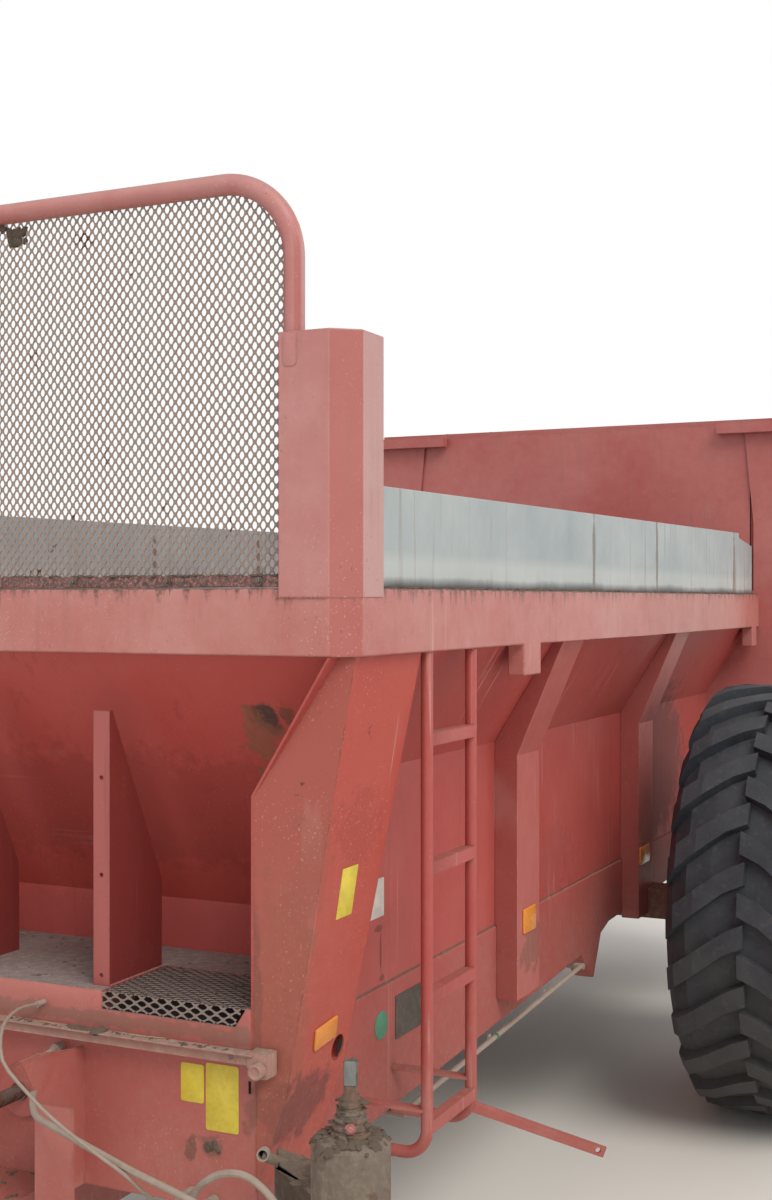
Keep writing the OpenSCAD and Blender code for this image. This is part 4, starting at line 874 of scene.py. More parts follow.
rim_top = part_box("rim_rail")[1].z
POST_PROUD = 0.002
POST_FOOT = 0.022
posts = soft_copy("corner_posts")
moved(posts, lambda p: True, lambda p: Vector((p.x + POST_PROUD, p.y + math.copysign(POST_PROUD, p.y), p.z)))
moved(posts, lambda p: p.z < rim_top + 0.001, lambda p: p - POST_FOOT * UP)
round_edges(posts, "corner_posts", 0.004)

webs = soft_copy("front_webs")
WEB_CORNERS = ((1.64, 1.70, 0.10, at(-0.046, 0, 1.665)),
               (1.20, 1.60, 0.20, at(-0.252, 0, 1.240)),
               (1.00, 1.05, 0.20, at(-0.252, 0, 1.020)))
for low, high, behind, corner in WEB_CORNERS:
    moved(webs, lambda p: low < p.z < high and back(p) > behind, lambda p: Vector((corner.x, p.y, corner.z)))
round_edges(webs, "front_webs", 0.0015)

rim = soft_copy("rim_rail")
POCKET_TOP = 1.80
POCKET_LONGER = 0.05
moved(rim, lambda p: p.z < POCKET_TOP - 0.02 and 2.1 < back(p) < 2.4, lambda p: Vector((p.x, p.y, POCKET_TOP)))
moved(rim, lambda p: p.z < POCKET_TOP + 0.001 and 1.12 < back(p) < 1.2, lambda p: p - POCKET_LONGER * FORWARD)
round_edges(rim, "rim_rail", 0.005)

panel = soft_copy("front_panel")
GUSSET_SHIFT = 0.032
moved(panel, lambda p: p.x > RIM_FACE_X - 0.004 and 0.13 < abs(p.y) < 0.27 and p.z < 0.925,
      lambda p: p - math.copysign(GUSSET_SHIFT, p.y) * LEFT)
round_edges(panel, "front_panel", 0.0015)

jack = soft_copy("jack_cylinder")
BRACKET_FOOT, BRACKET_SIDE, BRACKET_TOP = 0.690, 0.745, 0.725
moved(jack, lambda p: p.y < BRACKET_FOOT, lambda p: Vector((p.x, BRACKET_FOOT, p.z)))
moved(jack, lambda p: p.y < BRACKET_SIDE + 0.055 and p.x > RIM_FACE_X + 0.02,
      lambda p: Vector((p.x, max(p.y, BRACKET_SIDE), min(p.z, BRACKET_TOP))))
moved(jack, lambda p: p.y < BRACKET_SIDE + 0.075 and p.z > BRACKET_TOP + 0.0001,
      lambda p: Vector((p.x, p.y, BRACKET_TOP)))
with editing(jack):
    bpy.ops.mesh.remove_doubles(threshold=0.001)
    bpy.ops.mesh.dissolve_degenerate(threshold=0.0005)
    bpy.ops.mesh.normals_make_consistent(inside=False)
round_edges(jack, "jack_cylinder", 0.003)

JOURNAL_REACH = 0.045
WIDER, THINNER = 1.04, 0.97
beams = soft_copy("rear_beams")
for side, name in SIDES:
    bore = middle("beater_core_" + name).xy
    moved(beams, lambda p: (p.xy - bore).length < JOURNAL_REACH,
          lambda p: Vector((*(bore + (p.xy - bore) * WIDER), p.z)))
round_edges(beams, "rear_beams", 0.006)

axle = soft_copy("axle_beam")
hub = middle("wheel_left").xz
moved(axle, lambda p: abs(p.y) > 0.6 and (p.xz - hub).length < JOURNAL_REACH,
      lambda p: Vector((hub.x + (p.x - hub.x) * THINNER, p.y, hub.y + (p.z - hub.y) * THINNER)))
round_edges(axle, "axle_beam", 0.005)

CLIPS = (0.9, 1.4, 1.9)
CLIP_HALF, CLIP_FOOT, CLIP_CUT = 0.012, 0.05, 0.045
hoses = soft_copy("hydraulic_lines")
for clip in CLIPS:
    lowest = min(v.co.z for v in hoses.data.vertices if abs(back(v.co) - clip) < CLIP_HALF)
    moved(hoses, lambda p: abs(back(p) - clip) < CLIP_HALF and p.z > lowest + CLIP_FOOT,
          lambda p: p - CLIP_CUT * UP)
round_edges(hoses, "hydraulic_lines", 0.0004, segments=1, angle=60)

# %% [markdown]
# ## Cross bar
# The bar under the platform is a low folded section with a lip along its top, an upright plate at each end
# and a round pin in the plate. A box is drawn to the bar's size, its front face is inset and pushed in to
# leave the lips, and the plates and pins are drawn beside it and joined.

# %% Cross bar
def box(low, high):
    """A box between two corners, its place in its mesh."""
    piece = primitive(bpy.ops.mesh.primitive_cube_add, size=1)
    piece.data.transform(Matrix.Translation((low + high) / 2) @ Matrix.Diagonal((*(high - low), 1)))
    return piece


bar_top = 0.936
pieces = [box(at(0.0145, -0.640, 0.911), at(0.0440, 0.640, bar_top - 0.004)),
          box(at(0.0145, -0.655, bar_top - 0.004), at(0.0500, 0.655, bar_top))]
with editing(pieces[0]):
    pick(pieces[0], lambda f: f.normal.x > 0.9, "polygons")
    bpy.ops.mesh.inset(thickness=0.004, depth=-0.005)
for side in (-1, 1):
    low_y, high_y = sorted((side * 0.640, side * 0.690))
    pieces.append(box(at(0.0005, low_y, 0.886), at(0.0460, high_y, 0.940)))
    pin = apply_all(primitive(bpy.ops.mesh.primitive_cylinder_add, vertices=32, radius=0.0175, depth=0.024,
                              rotation=(0, math.pi / 2, 0), location=at(0.056, side * 0.672, 0.906)))
    with editing(pin):
        pick(pin, lambda f: f.normal.x > 0.9, "polygons")
        bpy.ops.mesh.inset(thickness=0.004, depth=0.002)
        bpy.ops.mesh.inset(thickness=0.004, depth=-0.003)
    pieces.append(pin)
for piece in pieces:
    modify(piece, "BEVEL", width=0.0015, segments=2, limit_method="ANGLE")
    apply_all(piece)
bar = settle(joined(pieces), "cross_bar_folded", "root", own_finish["cross_bar"])
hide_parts("cross_bar")

# %% [markdown]
# ## Expanded metal of the guard
# Expanded metal is slit sheet that has been pulled open: a lattice of strands that are wide where they meet
# and narrow between. One knot is made from a four-sided circle whose edges are extruded into half strands.
# Two knots, one shifted by half a cell, are the repeat, and two Array modifiers fill the frame with it. A
# texture with holes would be lighter, but from close by it would have no thickness and no shadow.

# %% Guard mesh
def expanded_sheet(cell_w, cell_h, knot, neck, columns, rows, thickness):
    """A flat lattice in X and Y, from the origin, of columns by rows cells."""
    sheet = primitive(bpy.ops.mesh.primitive_circle_add, vertices=4, radius=knot, fill_type="NGON")
    with editing(sheet):
        for side_x in (-1, 1):
            for side_y in (-1, 1):
                pick(sheet, lambda v: v.co.x * side_x > -0.01 * knot and v.co.y * side_y > -0.01 * knot
                     and v.co.length < 1.1 * knot)
                reach = (side_x * (cell_w / 4 - knot / 2), side_y * (cell_h / 4 - knot / 2), 0)
                bpy.ops.mesh.extrude_edges_move(TRANSFORM_OT_translate={"value": reach})
                half_way = (side_x * cell_w / 4, side_y * cell_h / 4, 0)
                bpy.ops.transform.resize(value=(neck, neck, 1), center_override=half_way)
        bpy.ops.mesh.select_all(action="SELECT")
        bpy.ops.mesh.duplicate_move(TRANSFORM_OT_translate={"value": (cell_w / 2, cell_h / 2, 0)})
    for count, step in ((columns, (cell_w, 0, 0)), (rows, (0, cell_h, 0))):
        modify(sheet, "ARRAY", use_relative_offset=False, use_constant_offset=True,
               constant_offset_displace=step, count=count)
    apply_all(sheet)
    with editing(sheet):
        bpy.ops.mesh.remove_doubles(threshold=cell_w * 0.01)
        bpy.ops.mesh.normals_make_consistent(inside=False)
    modify(sheet, "SOLIDIFY", thickness=thickness, offset=0)
    return sheet


def cut_away(piece, rule):
    """Deletes the vertices that pass a rule."""
    with editing(piece):
        found = pick(piece, rule)
        bpy.ops.mesh.delete(type="VERT")
    print("points cut away:", found)


GUARD_CELL = (0.022, 0.0285)
guard_low, guard_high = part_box("guard_mesh")
hoop_low, hoop_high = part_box("guard_hoop")
HOOP_TUBE = 0.024
hoop_y = hoop_high.y - HOOP_TUBE
hoop_z = hoop_high.z - HOOP_TUBE
hoop_bend = 0.18
guard_plane = middle("guard_mesh").x
columns = int(2 * hoop_y / GUARD_CELL[0]) + 1
rows = int((hoop_z - guard_low.z) / GUARD_CELL[1]) + 1
guard = expanded_sheet(*GUARD_CELL, 0.0042, 0.42, columns, rows, 0.0024)



def upright(place):
    """Turns a flat sheet to face forwards, its first corner at a place."""
    return Matrix(((0, 0, 1, place[0]), (1, 0, 0, place[1]), (0, 1, 0, place[2]), (0, 0, 0, 1)))


guard.data.transform(upright((guard_plane, -columns * GUARD_CELL[0] / 2, guard_low.z + 0.012)))


def outside_hoop(vertex):
    """True past the hoop's middle line, and below it past the posts' inner faces."""
    across, up = abs(vertex.co.y), vertex.co.z
    if up < hoop_low.z and across > guard_high.y + 0.004:
        return True
    if across > hoop_y or up > hoop_z:
        return True
    corner_y, corner_z = across - (hoop_y - hoop_bend), up - (hoop_z - hoop_bend)
    return corner_y > 0 and corner_z > 0 and math.hypot(corner_y, corner_z) > hoop_bend


cut_away(guard, outside_hoop)
settle(guard, "guard_mesh_fine", "root", dusty_mesh)
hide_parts("guard_mesh")

# %% [markdown]
# ## Foot of the guard
# The mesh ends in a folded strip that lies on the rim, with a crust of dirt on it. A plane is extruded into
# the fold of the strip and given its thickness.

# %% Guard foot
STRIP_W, STRIP_L, STRIP_H = 0.020, 1.378, 0.028
strip = primitive(bpy.ops.mesh.primitive_plane_add, size=1)
strip.data.transform(Matrix.Translation((guard_plane + STRIP_W / 2, 0, guard_low.z + STRIP_H))
                     @ Matrix.Diagonal((STRIP_W, STRIP_L, 1, 1)))
with editing(strip):
    pick(strip, lambda v: v.co.x > guard_plane + STRIP_W / 2)
    bpy.ops.mesh.extrude_edges_move(TRANSFORM_OT_translate={"value": (0.002, 0, 0.002 - STRIP_H)})
    bpy.ops.mesh.extrude_edges_move(TRANSFORM_OT_translate={"value": (-0.012, 0, 0)})
modify(strip, "SOLIDIFY", thickness=0.003)
settle(strip, "guard_foot_strip", "root", own_finish["rim_rail"])

# %% [markdown]
# ## Tread of the step
# The step's tread is the same kind of sheet in a larger cell, folded down over the platform's front edge.
# A flat sheet and a lip are made by the same function; the lip stands upright, follows the slanting end of
# its opening, and both replace the coarse CAD tread.

# %% Step tread
tread_low, tread_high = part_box("step_tread")
TREAD_CELL = (0.036, 0.023)
TREAD_END_SLOPE = 25 / 38
width = tread_high.y - tread_low.y
depth = tread_high.x - tread_low.x
TREAD_KNOT, TREAD_NECK = 0.0044, 0.50
TREAD_GAP = 0.002
LIP_ROWS, LIP_DROP = 4, 0.0115
columns = int(width / TREAD_CELL[0]) + 1
rows = int(depth / TREAD_CELL[1]) + 1
top = expanded_sheet(*TREAD_CELL, TREAD_KNOT, TREAD_NECK, columns, rows, 0.0026)
top.data.transform(Matrix(((0, 1, 0, tread_low.x + TREAD_GAP), (1, 0, 0, tread_low.y + TREAD_GAP),
                           (0, 0, 1, tread_high.z - TREAD_GAP), (0, 0, 0, 1))))
cut_away(top, lambda v: v.co.y > tread_high.y - 0.001 or v.co.x > tread_high.x - 0.001)
lip = expanded_sheet(*TREAD_CELL, TREAD_KNOT, TREAD_NECK, columns, LIP_ROWS, 0.0022)
lip.data.transform(upright((tread_high.x - TREAD_GAP, tread_low.y + TREAD_GAP, tread_low.z - LIP_DROP)))


def past_lip(vertex):
    """True outside the lip's opening, whose outer end slants."""
    above = vertex.co.z - tread_low.z
    return (above < -0.004 or vertex.co.z > tread_high.z - 0.0005
            or vertex.co.y > tread_high.y - 0.025 + above * TREAD_END_SLOPE)


cut_away(lip, past_lip)
tread = joined([apply_all(top), apply_all(lip)])
settle(tread, "step_tread_fine", "root", tread_mesh)
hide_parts("step_tread")

# %% [markdown]
# ## Dark space under the tread
# Under the tread lies a dark folded tray, painted shade for the dark below the mesh, which keeps the mesh from
# showing daylight. A plane is extruded into a shallow channel just inside the platform.

# %% Tray under the tread
TRAY_DROP = 0.004
shade_tray = primitive(bpy.ops.mesh.primitive_plane_add, size=1)
shade_tray.data.transform(Matrix.Translation((*middle("step_tread").xy, tread_low.z - TRAY_DROP))
                    @ Matrix.Diagonal((depth - 0.03, width - 0.01, 1, 1)))
with editing(shade_tray):
    pick(shade_tray, lambda v: v.co.x < tread_low.x + 0.05)
    bpy.ops.mesh.extrude_edges_move(TRANSFORM_OT_translate={"value": (-0.004, 0, 0.030)})
modify(shade_tray, "SOLIDIFY", thickness=0.002)
settle(shade_tray, "tread_shade_tray", "root", painted_shade_black)

# %% [markdown]
# ## Stickers, plates and reflectors
# The machine carries two yellow stickers and a yellow stripe in front, orange reflectors on the cheek and
# the ribs, a green round and a dark plate on the rail, a white label on the wall and a grey tag on the jack.
# All of them are blank here. Each is a plane with rounded corners and a thin wall, seated on the CAD surface nearest
# to its place and turned to its normal. The guard's tongues and the black slots are made alike; the black slots are
# painted shade, thin black plates for the dark inside of a slot.

# %% Stickers and plates
def sticker_finish(name, colour, faded, roughness, splash=0.4):
    """A printed or moulded colour under scratches and splashes."""
    return painted_steel(name, colour, faded, bleach=0.5, scratches=0.6, wear=0.2, rust=0.0, splash=splash,
                         splash_top=1.2, dust=0.2, runs=0.35, roughness=roughness)


yellow = sticker_finish("yellow_sticker", rgba(232, 206, 48), rgba(226, 206, 104), 0.45, 0.2)
orange = sticker_finish("orange_reflector", rgba(232, 134, 30), rgba(236, 168, 84), 0.22, 0.2)
green = sticker_finish("green_round", rgba(38, 132, 96), rgba(112, 158, 134), 0.5, 0.2)
dark_plate = sticker_finish("dark_plate", rgba(52, 46, 44), rgba(88, 80, 74), 0.5, 0.55)
white_label = sticker_finish("white_label", rgba(222, 216, 208), rgba(204, 190, 180), 0.45, 0.15)
grey_tag = sticker_finish("grey_tag", rgba(100, 114, 118), rgba(150, 156, 152), 0.5, 0.7)


def plate(name, node_name, centre, width, height, finish, turn=0.0, corner=0.006, thickness=0.0012):
    """A thin plate with rounded corners, seated on a node."""
    piece = primitive(bpy.ops.mesh.primitive_plane_add, size=1)
    piece.data.transform(Matrix.Diagonal((width, height, 1, 1)))
    with editing(piece):
        bpy.ops.mesh.bevel(offset=corner, segments=4, affect="VERTICES")
    modify(piece, "SOLIDIFY", thickness=thickness, offset=1)
    modify(piece, "BEVEL", width=thickness * 0.4, segments=2)
    apply_all(piece)
    point, normal = seat(node_name, centre)
    piece.data.transform(stance(point + normal * 0.0002, normal, turn))
    return settle(piece, name, nodes[node_name]["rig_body"], finish)


plate("warning_plate_small", "front_panel", at(0, 0.4725, 0.8395), 0.061, 0.087, yellow)
plate("warning_plate_large", "front_panel", at(0, 0.5505, 0.815), 0.085, 0.150, yellow)
plate("cheek_stripe", "corner_cheeks", at(-0.175, 0.79, 1.26), 0.078, 0.117, yellow, corner=0.003)
plate("cheek_reflector", "corner_cheeks", at(-0.163, 0.74, 0.937), 0.104, 0.052, orange, turn=0.10, thickness=0.006)
plate("rib_reflector_front", "side_ribs", at(-1.563, 0.72, 0.934), 0.109, 0.077, orange, thickness=0.006)
plate("rib_reflector_rear", "side_ribs", at(-2.869, 0.72, 0.939), 0.132, 0.068, orange, thickness=0.006)
plate("rail_round", "chassis_rails", at(-0.642, 0.64, 0.827), 0.078, 0.072, green, corner=0.0355)
plate("wall_label", "side_wall_left", at(-0.615, 0.66, 1.155), 0.11, 0.10, white_label, corner=0.004)
plate("jack_tag", "jack_cylinder", at(0.144, 0.940, 0.962), 0.024, 0.050, grey_tag, corner=0.003)
# painted shade: a black plate for the dark inside of a slot
plate("panel_slot", "front_panel", at(0, 0.620, 0.847), 0.012, 0.035, painted_shade_black, corner=0.0055, thickness=0.0006)
for side, name in SIDES:
    plate("hoop_tongue_" + name, "corner_posts", at(0.01, side * 0.722, 2.470), 0.036, 0.076,
          finishes["rim_paint"], corner=0.012, thickness=0.0035)
    # painted shade: a black plate for the dark inside of the post's slot
    plate("post_slot_" + name, "corner_posts", at(0.01, side * 0.7475, 2.464), 0.009, 0.072,
          painted_shade_black, corner=0.004, thickness=0.0006)
plate("rail_plate", "chassis_rails", at(-0.813, 0.64, 0.824), 0.170, 0.115, dark_plate, corner=0.006, thickness=0.002)

# %% [markdown]
# ## Bolts, nuts and rivets
# One hexagon bolt with a washer is modelled at the origin and copied wherever the machine has one: on the
# rail's plate, the guard's foot, the jack, the rear frame and the gearboxes, and later on the wheels. The
# head is a six-sided cylinder whose top is inset and raised twice, standing on a flat round washer.

# %% One bolt, many places
def bolt(across, head):
    """A hexagon head on a washer, standing on the origin."""
    washer = apply_all(primitive(bpy.ops.mesh.primitive_cylinder_add, vertices=16, radius=across * 0.95,
                                 depth=head * 0.3, location=(0, 0, head * 0.15)))
    nut = apply_all(primitive(bpy.ops.mesh.primitive_cylinder_add, vertices=6, radius=across * 0.62,
                              depth=head, location=(0, 0, head * 0.78)))
    with editing(nut):
        pick(nut, lambda f: f.normal.z > 0.9, "polygons")
        bpy.ops.mesh.inset(thickness=across * 0.10, depth=head * 0.12)
        bpy.ops.mesh.inset(thickness=across * 0.16, depth=0)
        bpy.ops.mesh.extrude_region_move(TRANSFORM_OT_translate={"value": (0, 0, head * 0.25)})
    return joined([nut, washer])


def bolts(name, body, spots, across=0.010, head=0.008, finish=None):
    """One bolt copied to (point, normal) places."""
    piece = spread(bolt(across, head), [stance(point, normal, 0.3) for point, normal in spots])
    return settle(piece, name, body, finish or zinc_bolt)


def seats(node_name, places):
    """Places seated on a node."""
    return [seat(node_name, place) for place in places]


rail_plate = at(-0.813, 0.638, 0.824)
plate_corners = [rail_plate + Vector((dx, 0, dz)) for dx in (-0.074, 0.074) for dz in (-0.046, 0.046)]
bolts("rail_plate_rivets", "root", [(place, LEFT) for place in plate_corners], 0.0045, 0.003)
foot_spots = [(Vector((guard_plane + 0.022, side * y, guard_low.z + 0.016)), FORWARD)
              for side in (-1, 1) for y in (0.14, 0.40, 0.64)]
bolts("guard_foot_bolts", "root", foot_spots, 0.010, 0.008)
bolts("jack_bolt", "root", seats("jack_cylinder", [at(0.175, 0.956, 0.858)]), 0.012, 0.008, finishes["rim_paint"])
frame_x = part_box("rear_side_plates")[0].x
FRAME_SIDE = 1.09
FRAME_BOLT_HEIGHTS = (0.90, 1.25, 1.60, 1.95, 2.30, 2.62)
frame_spots = seats("rear_side_plates", [Vector((x, side * FRAME_SIDE, z)) for side in (-1, 1)
                                         for x in (frame_x + 0.06, frame_x + 0.66) for z in FRAME_BOLT_HEIGHTS])
bolts("frame_bolts", "root", frame_spots, 0.012, 0.010)
BEATER_Y, COVER_CIRCLE = 0.52, 0.085
box_low, box_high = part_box("beater_gearboxes")
gear_spots = seats("beater_gearboxes", [
    Vector((box_low.x + 0.11 + COVER_CIRCLE * math.cos(turn), side * BEATER_Y + COVER_CIRCLE * math.sin(turn),
            box_high.z + 0.02)) for side in (-1, 1) for turn in [math.tau * i / 8 for i in range(8)]])
bolts("gearbox_bolts", "root", gear_spots, 0.009, 0.008)

# %% [markdown]
# ## Openings, a pipe end, a plate and a tie
# A few small things sit low on the front corners. The holes in both cheeks show black, because the space behind them
# is closed and in shade: a dark cup of painted shade fills each, a circle inset and pushed in. The bracket's pipe
# ends in an open tube, a circle extruded and given a wall, with a dark cup of painted shade inside its end, and a
# thin plate lies over the bracket. A green tie holds the pipe to the rail: a ring.

# %% Small openings and the tie
def ring(name, radius, length, wall_thickness, place, finish):
    """An open tube along the place's Z, extruded from a circle's edge."""
    tube = primitive(bpy.ops.mesh.primitive_circle_add, vertices=28, radius=radius)
    with editing(tube):
        bpy.ops.mesh.extrude_edges_move(TRANSFORM_OT_translate={"value": (0, 0, length)})
        bpy.ops.mesh.select_all(action="SELECT")
        bpy.ops.mesh.normals_make_consistent(inside=False)
    modify(tube, "SOLIDIFY", thickness=wall_thickness, offset=-1)
    tube.data.transform(place)
    return settle(tube, name, "root", finish)


def cup(name, radius, depth, place):
    """A dark recess of painted shade: a disc inset and pushed in along the place's Z."""
    disc = primitive(bpy.ops.mesh.primitive_circle_add, vertices=28, radius=radius, fill_type="NGON")
    with editing(disc):
        bpy.ops.mesh.inset(thickness=radius * 0.12, depth=-depth)
    disc.data.transform(place)
    return settle(disc, name, "root", painted_shade_black)


HOLE_HEIGHT, HOLE_RADIUS, HOLE_SUNK = 0.882, 0.0272, 0.002
for side, name in SIDES:
    beside_hole, cheek_out = surface("corner_cheeks").ray_cast(at(-0.215, side * 1.2, HOLE_HEIGHT), -side * LEFT)[:2]
    hole = at(-0.275, side * 0.70, HOLE_HEIGHT)
    hole += cheek_out * ((beside_hole - hole).dot(cheek_out) - HOLE_SUNK)
    # painted shade: a near-black cup in the cheek's hole
    cup("cheek_hole_" + name, HOLE_RADIUS, 0.002, stance(hole, cheek_out))
    print("hole in the", name, "cheek faces", [round(c, 2) for c in cheek_out])
stub = stance(at(0.074, 0.700, 0.741), Vector((0.92, 0.34, 0.12)))
arm = stance(at(0.080, 0.698, 0.738), Vector((-0.45, 0.80, -0.38)))
ring("pipe_stub_end", 0.0136, 0.022, 0.0034, stub, finishes["dusty_hose"])
# painted shade: a near-black cup inside the pipe's open end
cup("pipe_stub_hole", 0.0108, 0.002, stub @ Matrix.Translation((0, 0, 0.005)))
ring("pipe_stub_arm", 0.0115, 0.080, 0.003, arm, finishes["grimy_steel"])
point, normal = seat("hydraulic_lines", at(-1.436, 0.70, 0.607))
cover = box(at(0, 0, BRACKET_TOP + 0.0004), at(1, 1, BRACKET_TOP + 0.0030))
COVER_CORNERS = {(0, 0): (0.0005, 0.692), (1, 0): (0.0895, 0.746), (1, 1): (0.1800, 0.880), (0, 1): (0.0350, 0.802)}
half_way = at(0.5, 0.5, 0)
moved(cover, lambda p: True, lambda p: at(*COVER_CORNERS[int(p.x > half_way.x), int(p.y > half_way.y)], p.z))
modify(cover, "BEVEL", width=0.0008, segments=2)
settle(cover, "bracket_top", "root", finishes["grimy_steel"])
ring("pipe_tie", 0.0125, 0.007, 0.0016, stance(point - normal * 0.008, FORWARD), green)

# %% [markdown]
# ## Wheel nuts
# Ten nuts hold each wheel on its hub. They stand on the disc's outer face, which is found by a ray sent
# inwards along the axle direction, so that they sit on it wherever it is dished.

# %% Wheel nuts
NUTS = 10
NUT_CIRCLE = 0.1675
for side, name in SIDES:
    spots = []
    for i in range(NUTS):
        turn = math.tau * (i + 0.5) / NUTS
        start = Vector((hub.x + NUT_CIRCLE * math.cos(turn), side * 1.8, hub.y + NUT_CIRCLE * math.sin(turn)))
        point = surface("wheel_" + name).ray_cast(start, -side * LEFT)[0]
        if point:
            spots.append((point, side * LEFT))
    bolts("wheel_nuts_" + name, name + "_wheel", spots, 0.020, 0.020)
    print("nuts on the", name, "wheel:", len(spots))

# %% [markdown]
# ## Crumbs, crusts and straw
# Dirt on this machine isn't only a stain: it lies in lumps along the boards' foot, on the tread, the bar,
# the jack, the drawbar and the rear beams. One lump is an icosphere whose points are shaken. Copies of it,
# stretched and turned by a seeded random number, make loose crumbs where they are few and a crust where
# they overlap.

# %% Crumbs and crusts
def lump(seed):
    """One shaken lump, 2 units across."""
    piece = primitive(bpy.ops.mesh.primitive_ico_sphere_add, subdivisions=2, radius=1)
    with editing(piece):
        bpy.ops.transform.vertex_random(offset=0.22, uniform=0.6, normal=0.5, seed=seed)
    return piece


def crust(name, spots, size, seed, finish=None, body="root"):
    """Lumps at (point, normal) places. size is the range of their half length, and each lies flat."""
    dice = random.Random(seed)
    places = []
    for point, normal in spots:
        half = dice.uniform(*size)
        shape = (half * dice.uniform(0.8, 1.6), half * dice.uniform(0.6, 1.1), half * dice.uniform(0.3, 0.55))
        places.append(stance(point - normal * half * 0.08, normal, dice.uniform(0, math.tau), shape))
    return settle(spread(lump(seed), places), name, body, finish or dark_lump, angle=60)


def along(start, end, count, normal, jitter, seed):
    """Places strewn along a line, with a normal."""
    dice = random.Random(seed)
    shake = lambda: dice.uniform(-jitter, jitter)
    return [(start.lerp(end, dice.random()) + Vector((shake(), shake(), 0)), normal) for i in range(count)]


def strewn(node_name, low, high, count, seed, above=0.2):
    """Places on a node's upward faces, found by rays sent down over a rectangle."""
    dice = random.Random(seed)
    spots = []
    for i in range(count):
        start = Vector((dice.uniform(low[0], high[0]), dice.uniform(low[1], high[1]), high[2] + above))
        point, normal = surface(node_name).ray_cast(start, -UP)[:2]
        if point and normal.z > 0.4:
            spots.append((point, normal))
    return spots


BOARD_FOOT_Y = 0.851
for side, name in SIDES:
    foot = along(at(-0.20, side * BOARD_FOOT_Y, rim_top), at(-4.18, side * BOARD_FOOT_Y, rim_top),
                 230, UP, 0.003, 11 + side)
    crust("board_foot_crust_" + name, foot, (0.006, 0.016), 5 + side)
strip_line = Vector((guard_plane + 0.008, 0, rim_top + STRIP_H))
lip_dirt = along(strip_line - 0.66 * LEFT, strip_line + 0.68 * LEFT, 110, UP, 0.006, 21)
crust("guard_foot_crust", lip_dirt, (0.005, 0.013), 8)
tread_spots = strewn("step_tread", tread_low, tread_high, 60, 31)
platform_spots = strewn("step_platform", *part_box("step_platform"), 110, 32)
crust("platform_crumbs", platform_spots, (0.002, 0.007), 9)
crust("tread_crumbs", tread_spots, (0.002, 0.006), 10)
bar_spots = along(at(0.032, -0.64, bar_top), at(0.032, 0.64, bar_top), 90, UP, 0.010, 33)
crust("bar_crumbs", bar_spots, (0.003, 0.008), 12)
jack_low, jack_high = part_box("jack_cylinder")
jack_spots = strewn("jack_cylinder", Vector((jack_low.x + 0.03, BRACKET_SIDE + 0.075, 0)), jack_high, 190, 34)
crust("jack_crumbs", jack_spots, (0.004, 0.014), 13)
bar_lump = [(at(0.032, 0.206 + 0.012 * i, bar_top), UP) for i in range(-3, 4)]
crust("bar_lump", bar_lump, (0.010, 0.019), 14)
latch = [seat("front_panel", at(0.01, 0.523 + 0.006 * (i - 2), 0.700 + 0.008 * (i % 2))) for i in range(5)]
crust("latch_lump", latch, (0.007, 0.012), 15)
dice = random.Random(19)
hoop_clump = [(at(-0.030, dice.gauss(-0.045, 0.016), dice.gauss(2.797, 0.012)), FORWARD) for i in range(16)]
crust("hoop_clump", hoop_clump, (0.007, 0.014), 18)
DOOR_ROOM = 0.03
door_low, door_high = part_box("door")
beam_spots = [spot for spot in strewn("rear_beams", *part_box("rear_beams"), 190, 35)
              if not door_low.x - DOOR_ROOM < spot[0].x < door_high.x + DOOR_ROOM]
crust("rear_beam_crumbs", beam_spots, (0.004, 0.014), 16)
crust("drawbar_crumbs", strewn("drawbar", *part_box("drawbar"), 200, 36), (0.003, 0.010), 17)

# %% [markdown]
# ## Straw
# A few short straws lie on the platform, the bar and the rear beams. One straw is a thin five-sided tube,
# cut across by a plane, and the new ring of points is pushed aside to bend it. The copies are turned and
# stretched at random.

# %% Straw
straw = apply_all(primitive(bpy.ops.mesh.primitive_cylinder_add, vertices=5, radius=0.0012, depth=0.07,
                            rotation=(0, math.pi / 2, 0)))
with editing(straw):
    bpy.ops.mesh.bisect(plane_co=(0.006, 0, 0), plane_no=(1, 0, 0))
    bpy.ops.transform.translate(value=(0, 0.004, 0))
dice = random.Random(40)
straw_spots = platform_spots[::40] + beam_spots[::9] + bar_spots[::45]
straw_places = [stance(point + normal * 0.002, normal, dice.uniform(0, math.tau), (dice.uniform(0.5, 1.5), 1, 1))
                for point, normal in straw_spots]
settle(spread(straw, straw_places), "straws", "root", pale_straw)

# %% [markdown]
# ## Weld beads
# Where plates meet they are welded, and a weld is a row of overlapping drops. One drop is an icosphere,
# flattened; copies of it along a line, each a little off, make the bead.

# %% Weld beads
def weld(name, lines, finish, step=0.007, size=0.0036):
    """Beads along (start, end) lines."""
    dice = random.Random(len(name))
    drop = primitive(bpy.ops.mesh.primitive_ico_sphere_add, subdivisions=1, radius=size)
    with editing(drop):
        bpy.ops.transform.vertex_random(offset=size * 0.15, seed=3)
    places = []
    for start, end in lines:
        count = int((end - start).length / step)
        for i in range(count + 1):
            places.append(Matrix.Translation(start.lerp(end, i / max(count, 1))) @ Matrix.Diagonal(
                (dice.uniform(0.9, 1.2), dice.uniform(0.9, 1.2), dice.uniform(0.9, 1.2), 1)))
    return settle(spread(drop, places), name, "root", finish, angle=60)


web_out, web_foot = 0.223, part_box("front_webs")[0].z
web_lines = [(at(-0.04, side * web_out, web_foot + 0.002), at(-0.25, side * web_out, web_foot + 0.002))
             for side in (-1, 1)]
weld("web_welds", web_lines, own_finish["step_platform"])
post_z = rim_top - POST_FOOT
post_lines = [(at(0.001, side * 0.69, post_z), at(0.001, side * 0.81, post_z)) for side in (-1, 1)]
weld("post_welds", post_lines, own_finish["rim_rail"], size=0.0026)

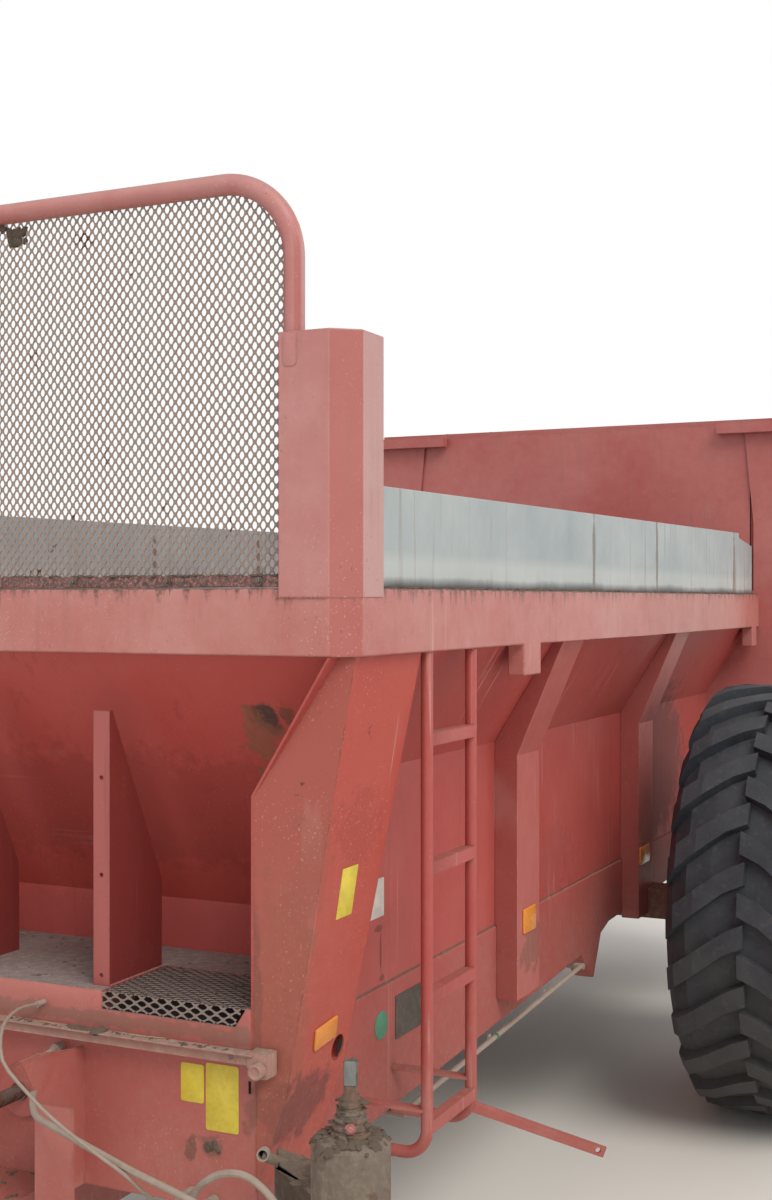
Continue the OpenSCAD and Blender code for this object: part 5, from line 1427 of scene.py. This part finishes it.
# %% [markdown]
# ## Floor, sky and lamps
# A pale floor takes the shadow. Far from the machine it fades to plain white for the camera, so no horizon
# cuts the picture, and the world is white to the camera and to reflections. The light itself is soft: a
# grey-white dome and one broad sun from the front left.

# %% Stage
FLOOR_RADIUS = 60
FADE_START, FADE_END = 7.0, 17.0
floor = apply_all(primitive(bpy.ops.mesh.primitive_circle_add, vertices=96, radius=FLOOR_RADIUS,
                            fill_type="NGON", location=(0, 0, -0.001)))
floor.name = "floor"
floor_material, tree, shader = new_finish("pale_floor")
feed(tree, shader, {"Base Color": rgba(226, 222, 214), "Roughness": 0.95})
white = add(tree, "Emission", {"Color": (1, 1, 1, 1), "Strength": 1.0})
distance = add(tree, "VectorMath", {0: object_place(tree)}, operation="LENGTH").outputs["Value"]
rays = add(tree, "LightPath").outputs
seen = largest(tree, rays["Is Camera Ray"], rays["Is Glossy Ray"])
far = times(tree, remap(tree, distance, FADE_START, FADE_END), seen)
mixed = add(tree, "MixShader", {0: far, 1: shader.outputs[0], 2: white.outputs[0]})
tree.links.new(mixed.outputs[0], tree.nodes["Material Output"].inputs["Surface"])
floor.data.materials.append(floor_material)

world = bpy.data.worlds.new("overcast")
scene.world = world
world.use_nodes = True
tree = world.node_tree
dome = tree.nodes["Background"]
dome.inputs["Color"].default_value = (0.94, 0.97, 1.0, 1.0)
dome.inputs["Strength"].default_value = 0.74
plain = add(tree, "Background", {"Color": (1, 1, 1, 1), "Strength": 1.0})
rays = add(tree, "LightPath").outputs
seen = largest(tree, rays["Is Camera Ray"], rays["Is Glossy Ray"],
            rays["Is Transmission Ray"])
mixed = add(tree, "MixShader", {0: seen, 1: dome.outputs[0], 2: plain.outputs[0]})
tree.links.new(mixed.outputs[0], tree.nodes["World Output"].inputs["Surface"])

sun_data = bpy.data.lights.new("broad_sun", "SUN")
sun_data.energy = 1.75
sun_data.angle = math.radians(35)
sun_data.color = (1.0, 0.97, 0.92)
sun = bpy.data.objects.new("broad_sun", sun_data)
sun.rotation_euler = Vector((-0.55, -0.75, -0.95)).to_track_quat("-Z", "Y").to_euler()
scene.collection.objects.link(sun)
scene.view_settings.view_transform = "Standard"
print("stage ready")
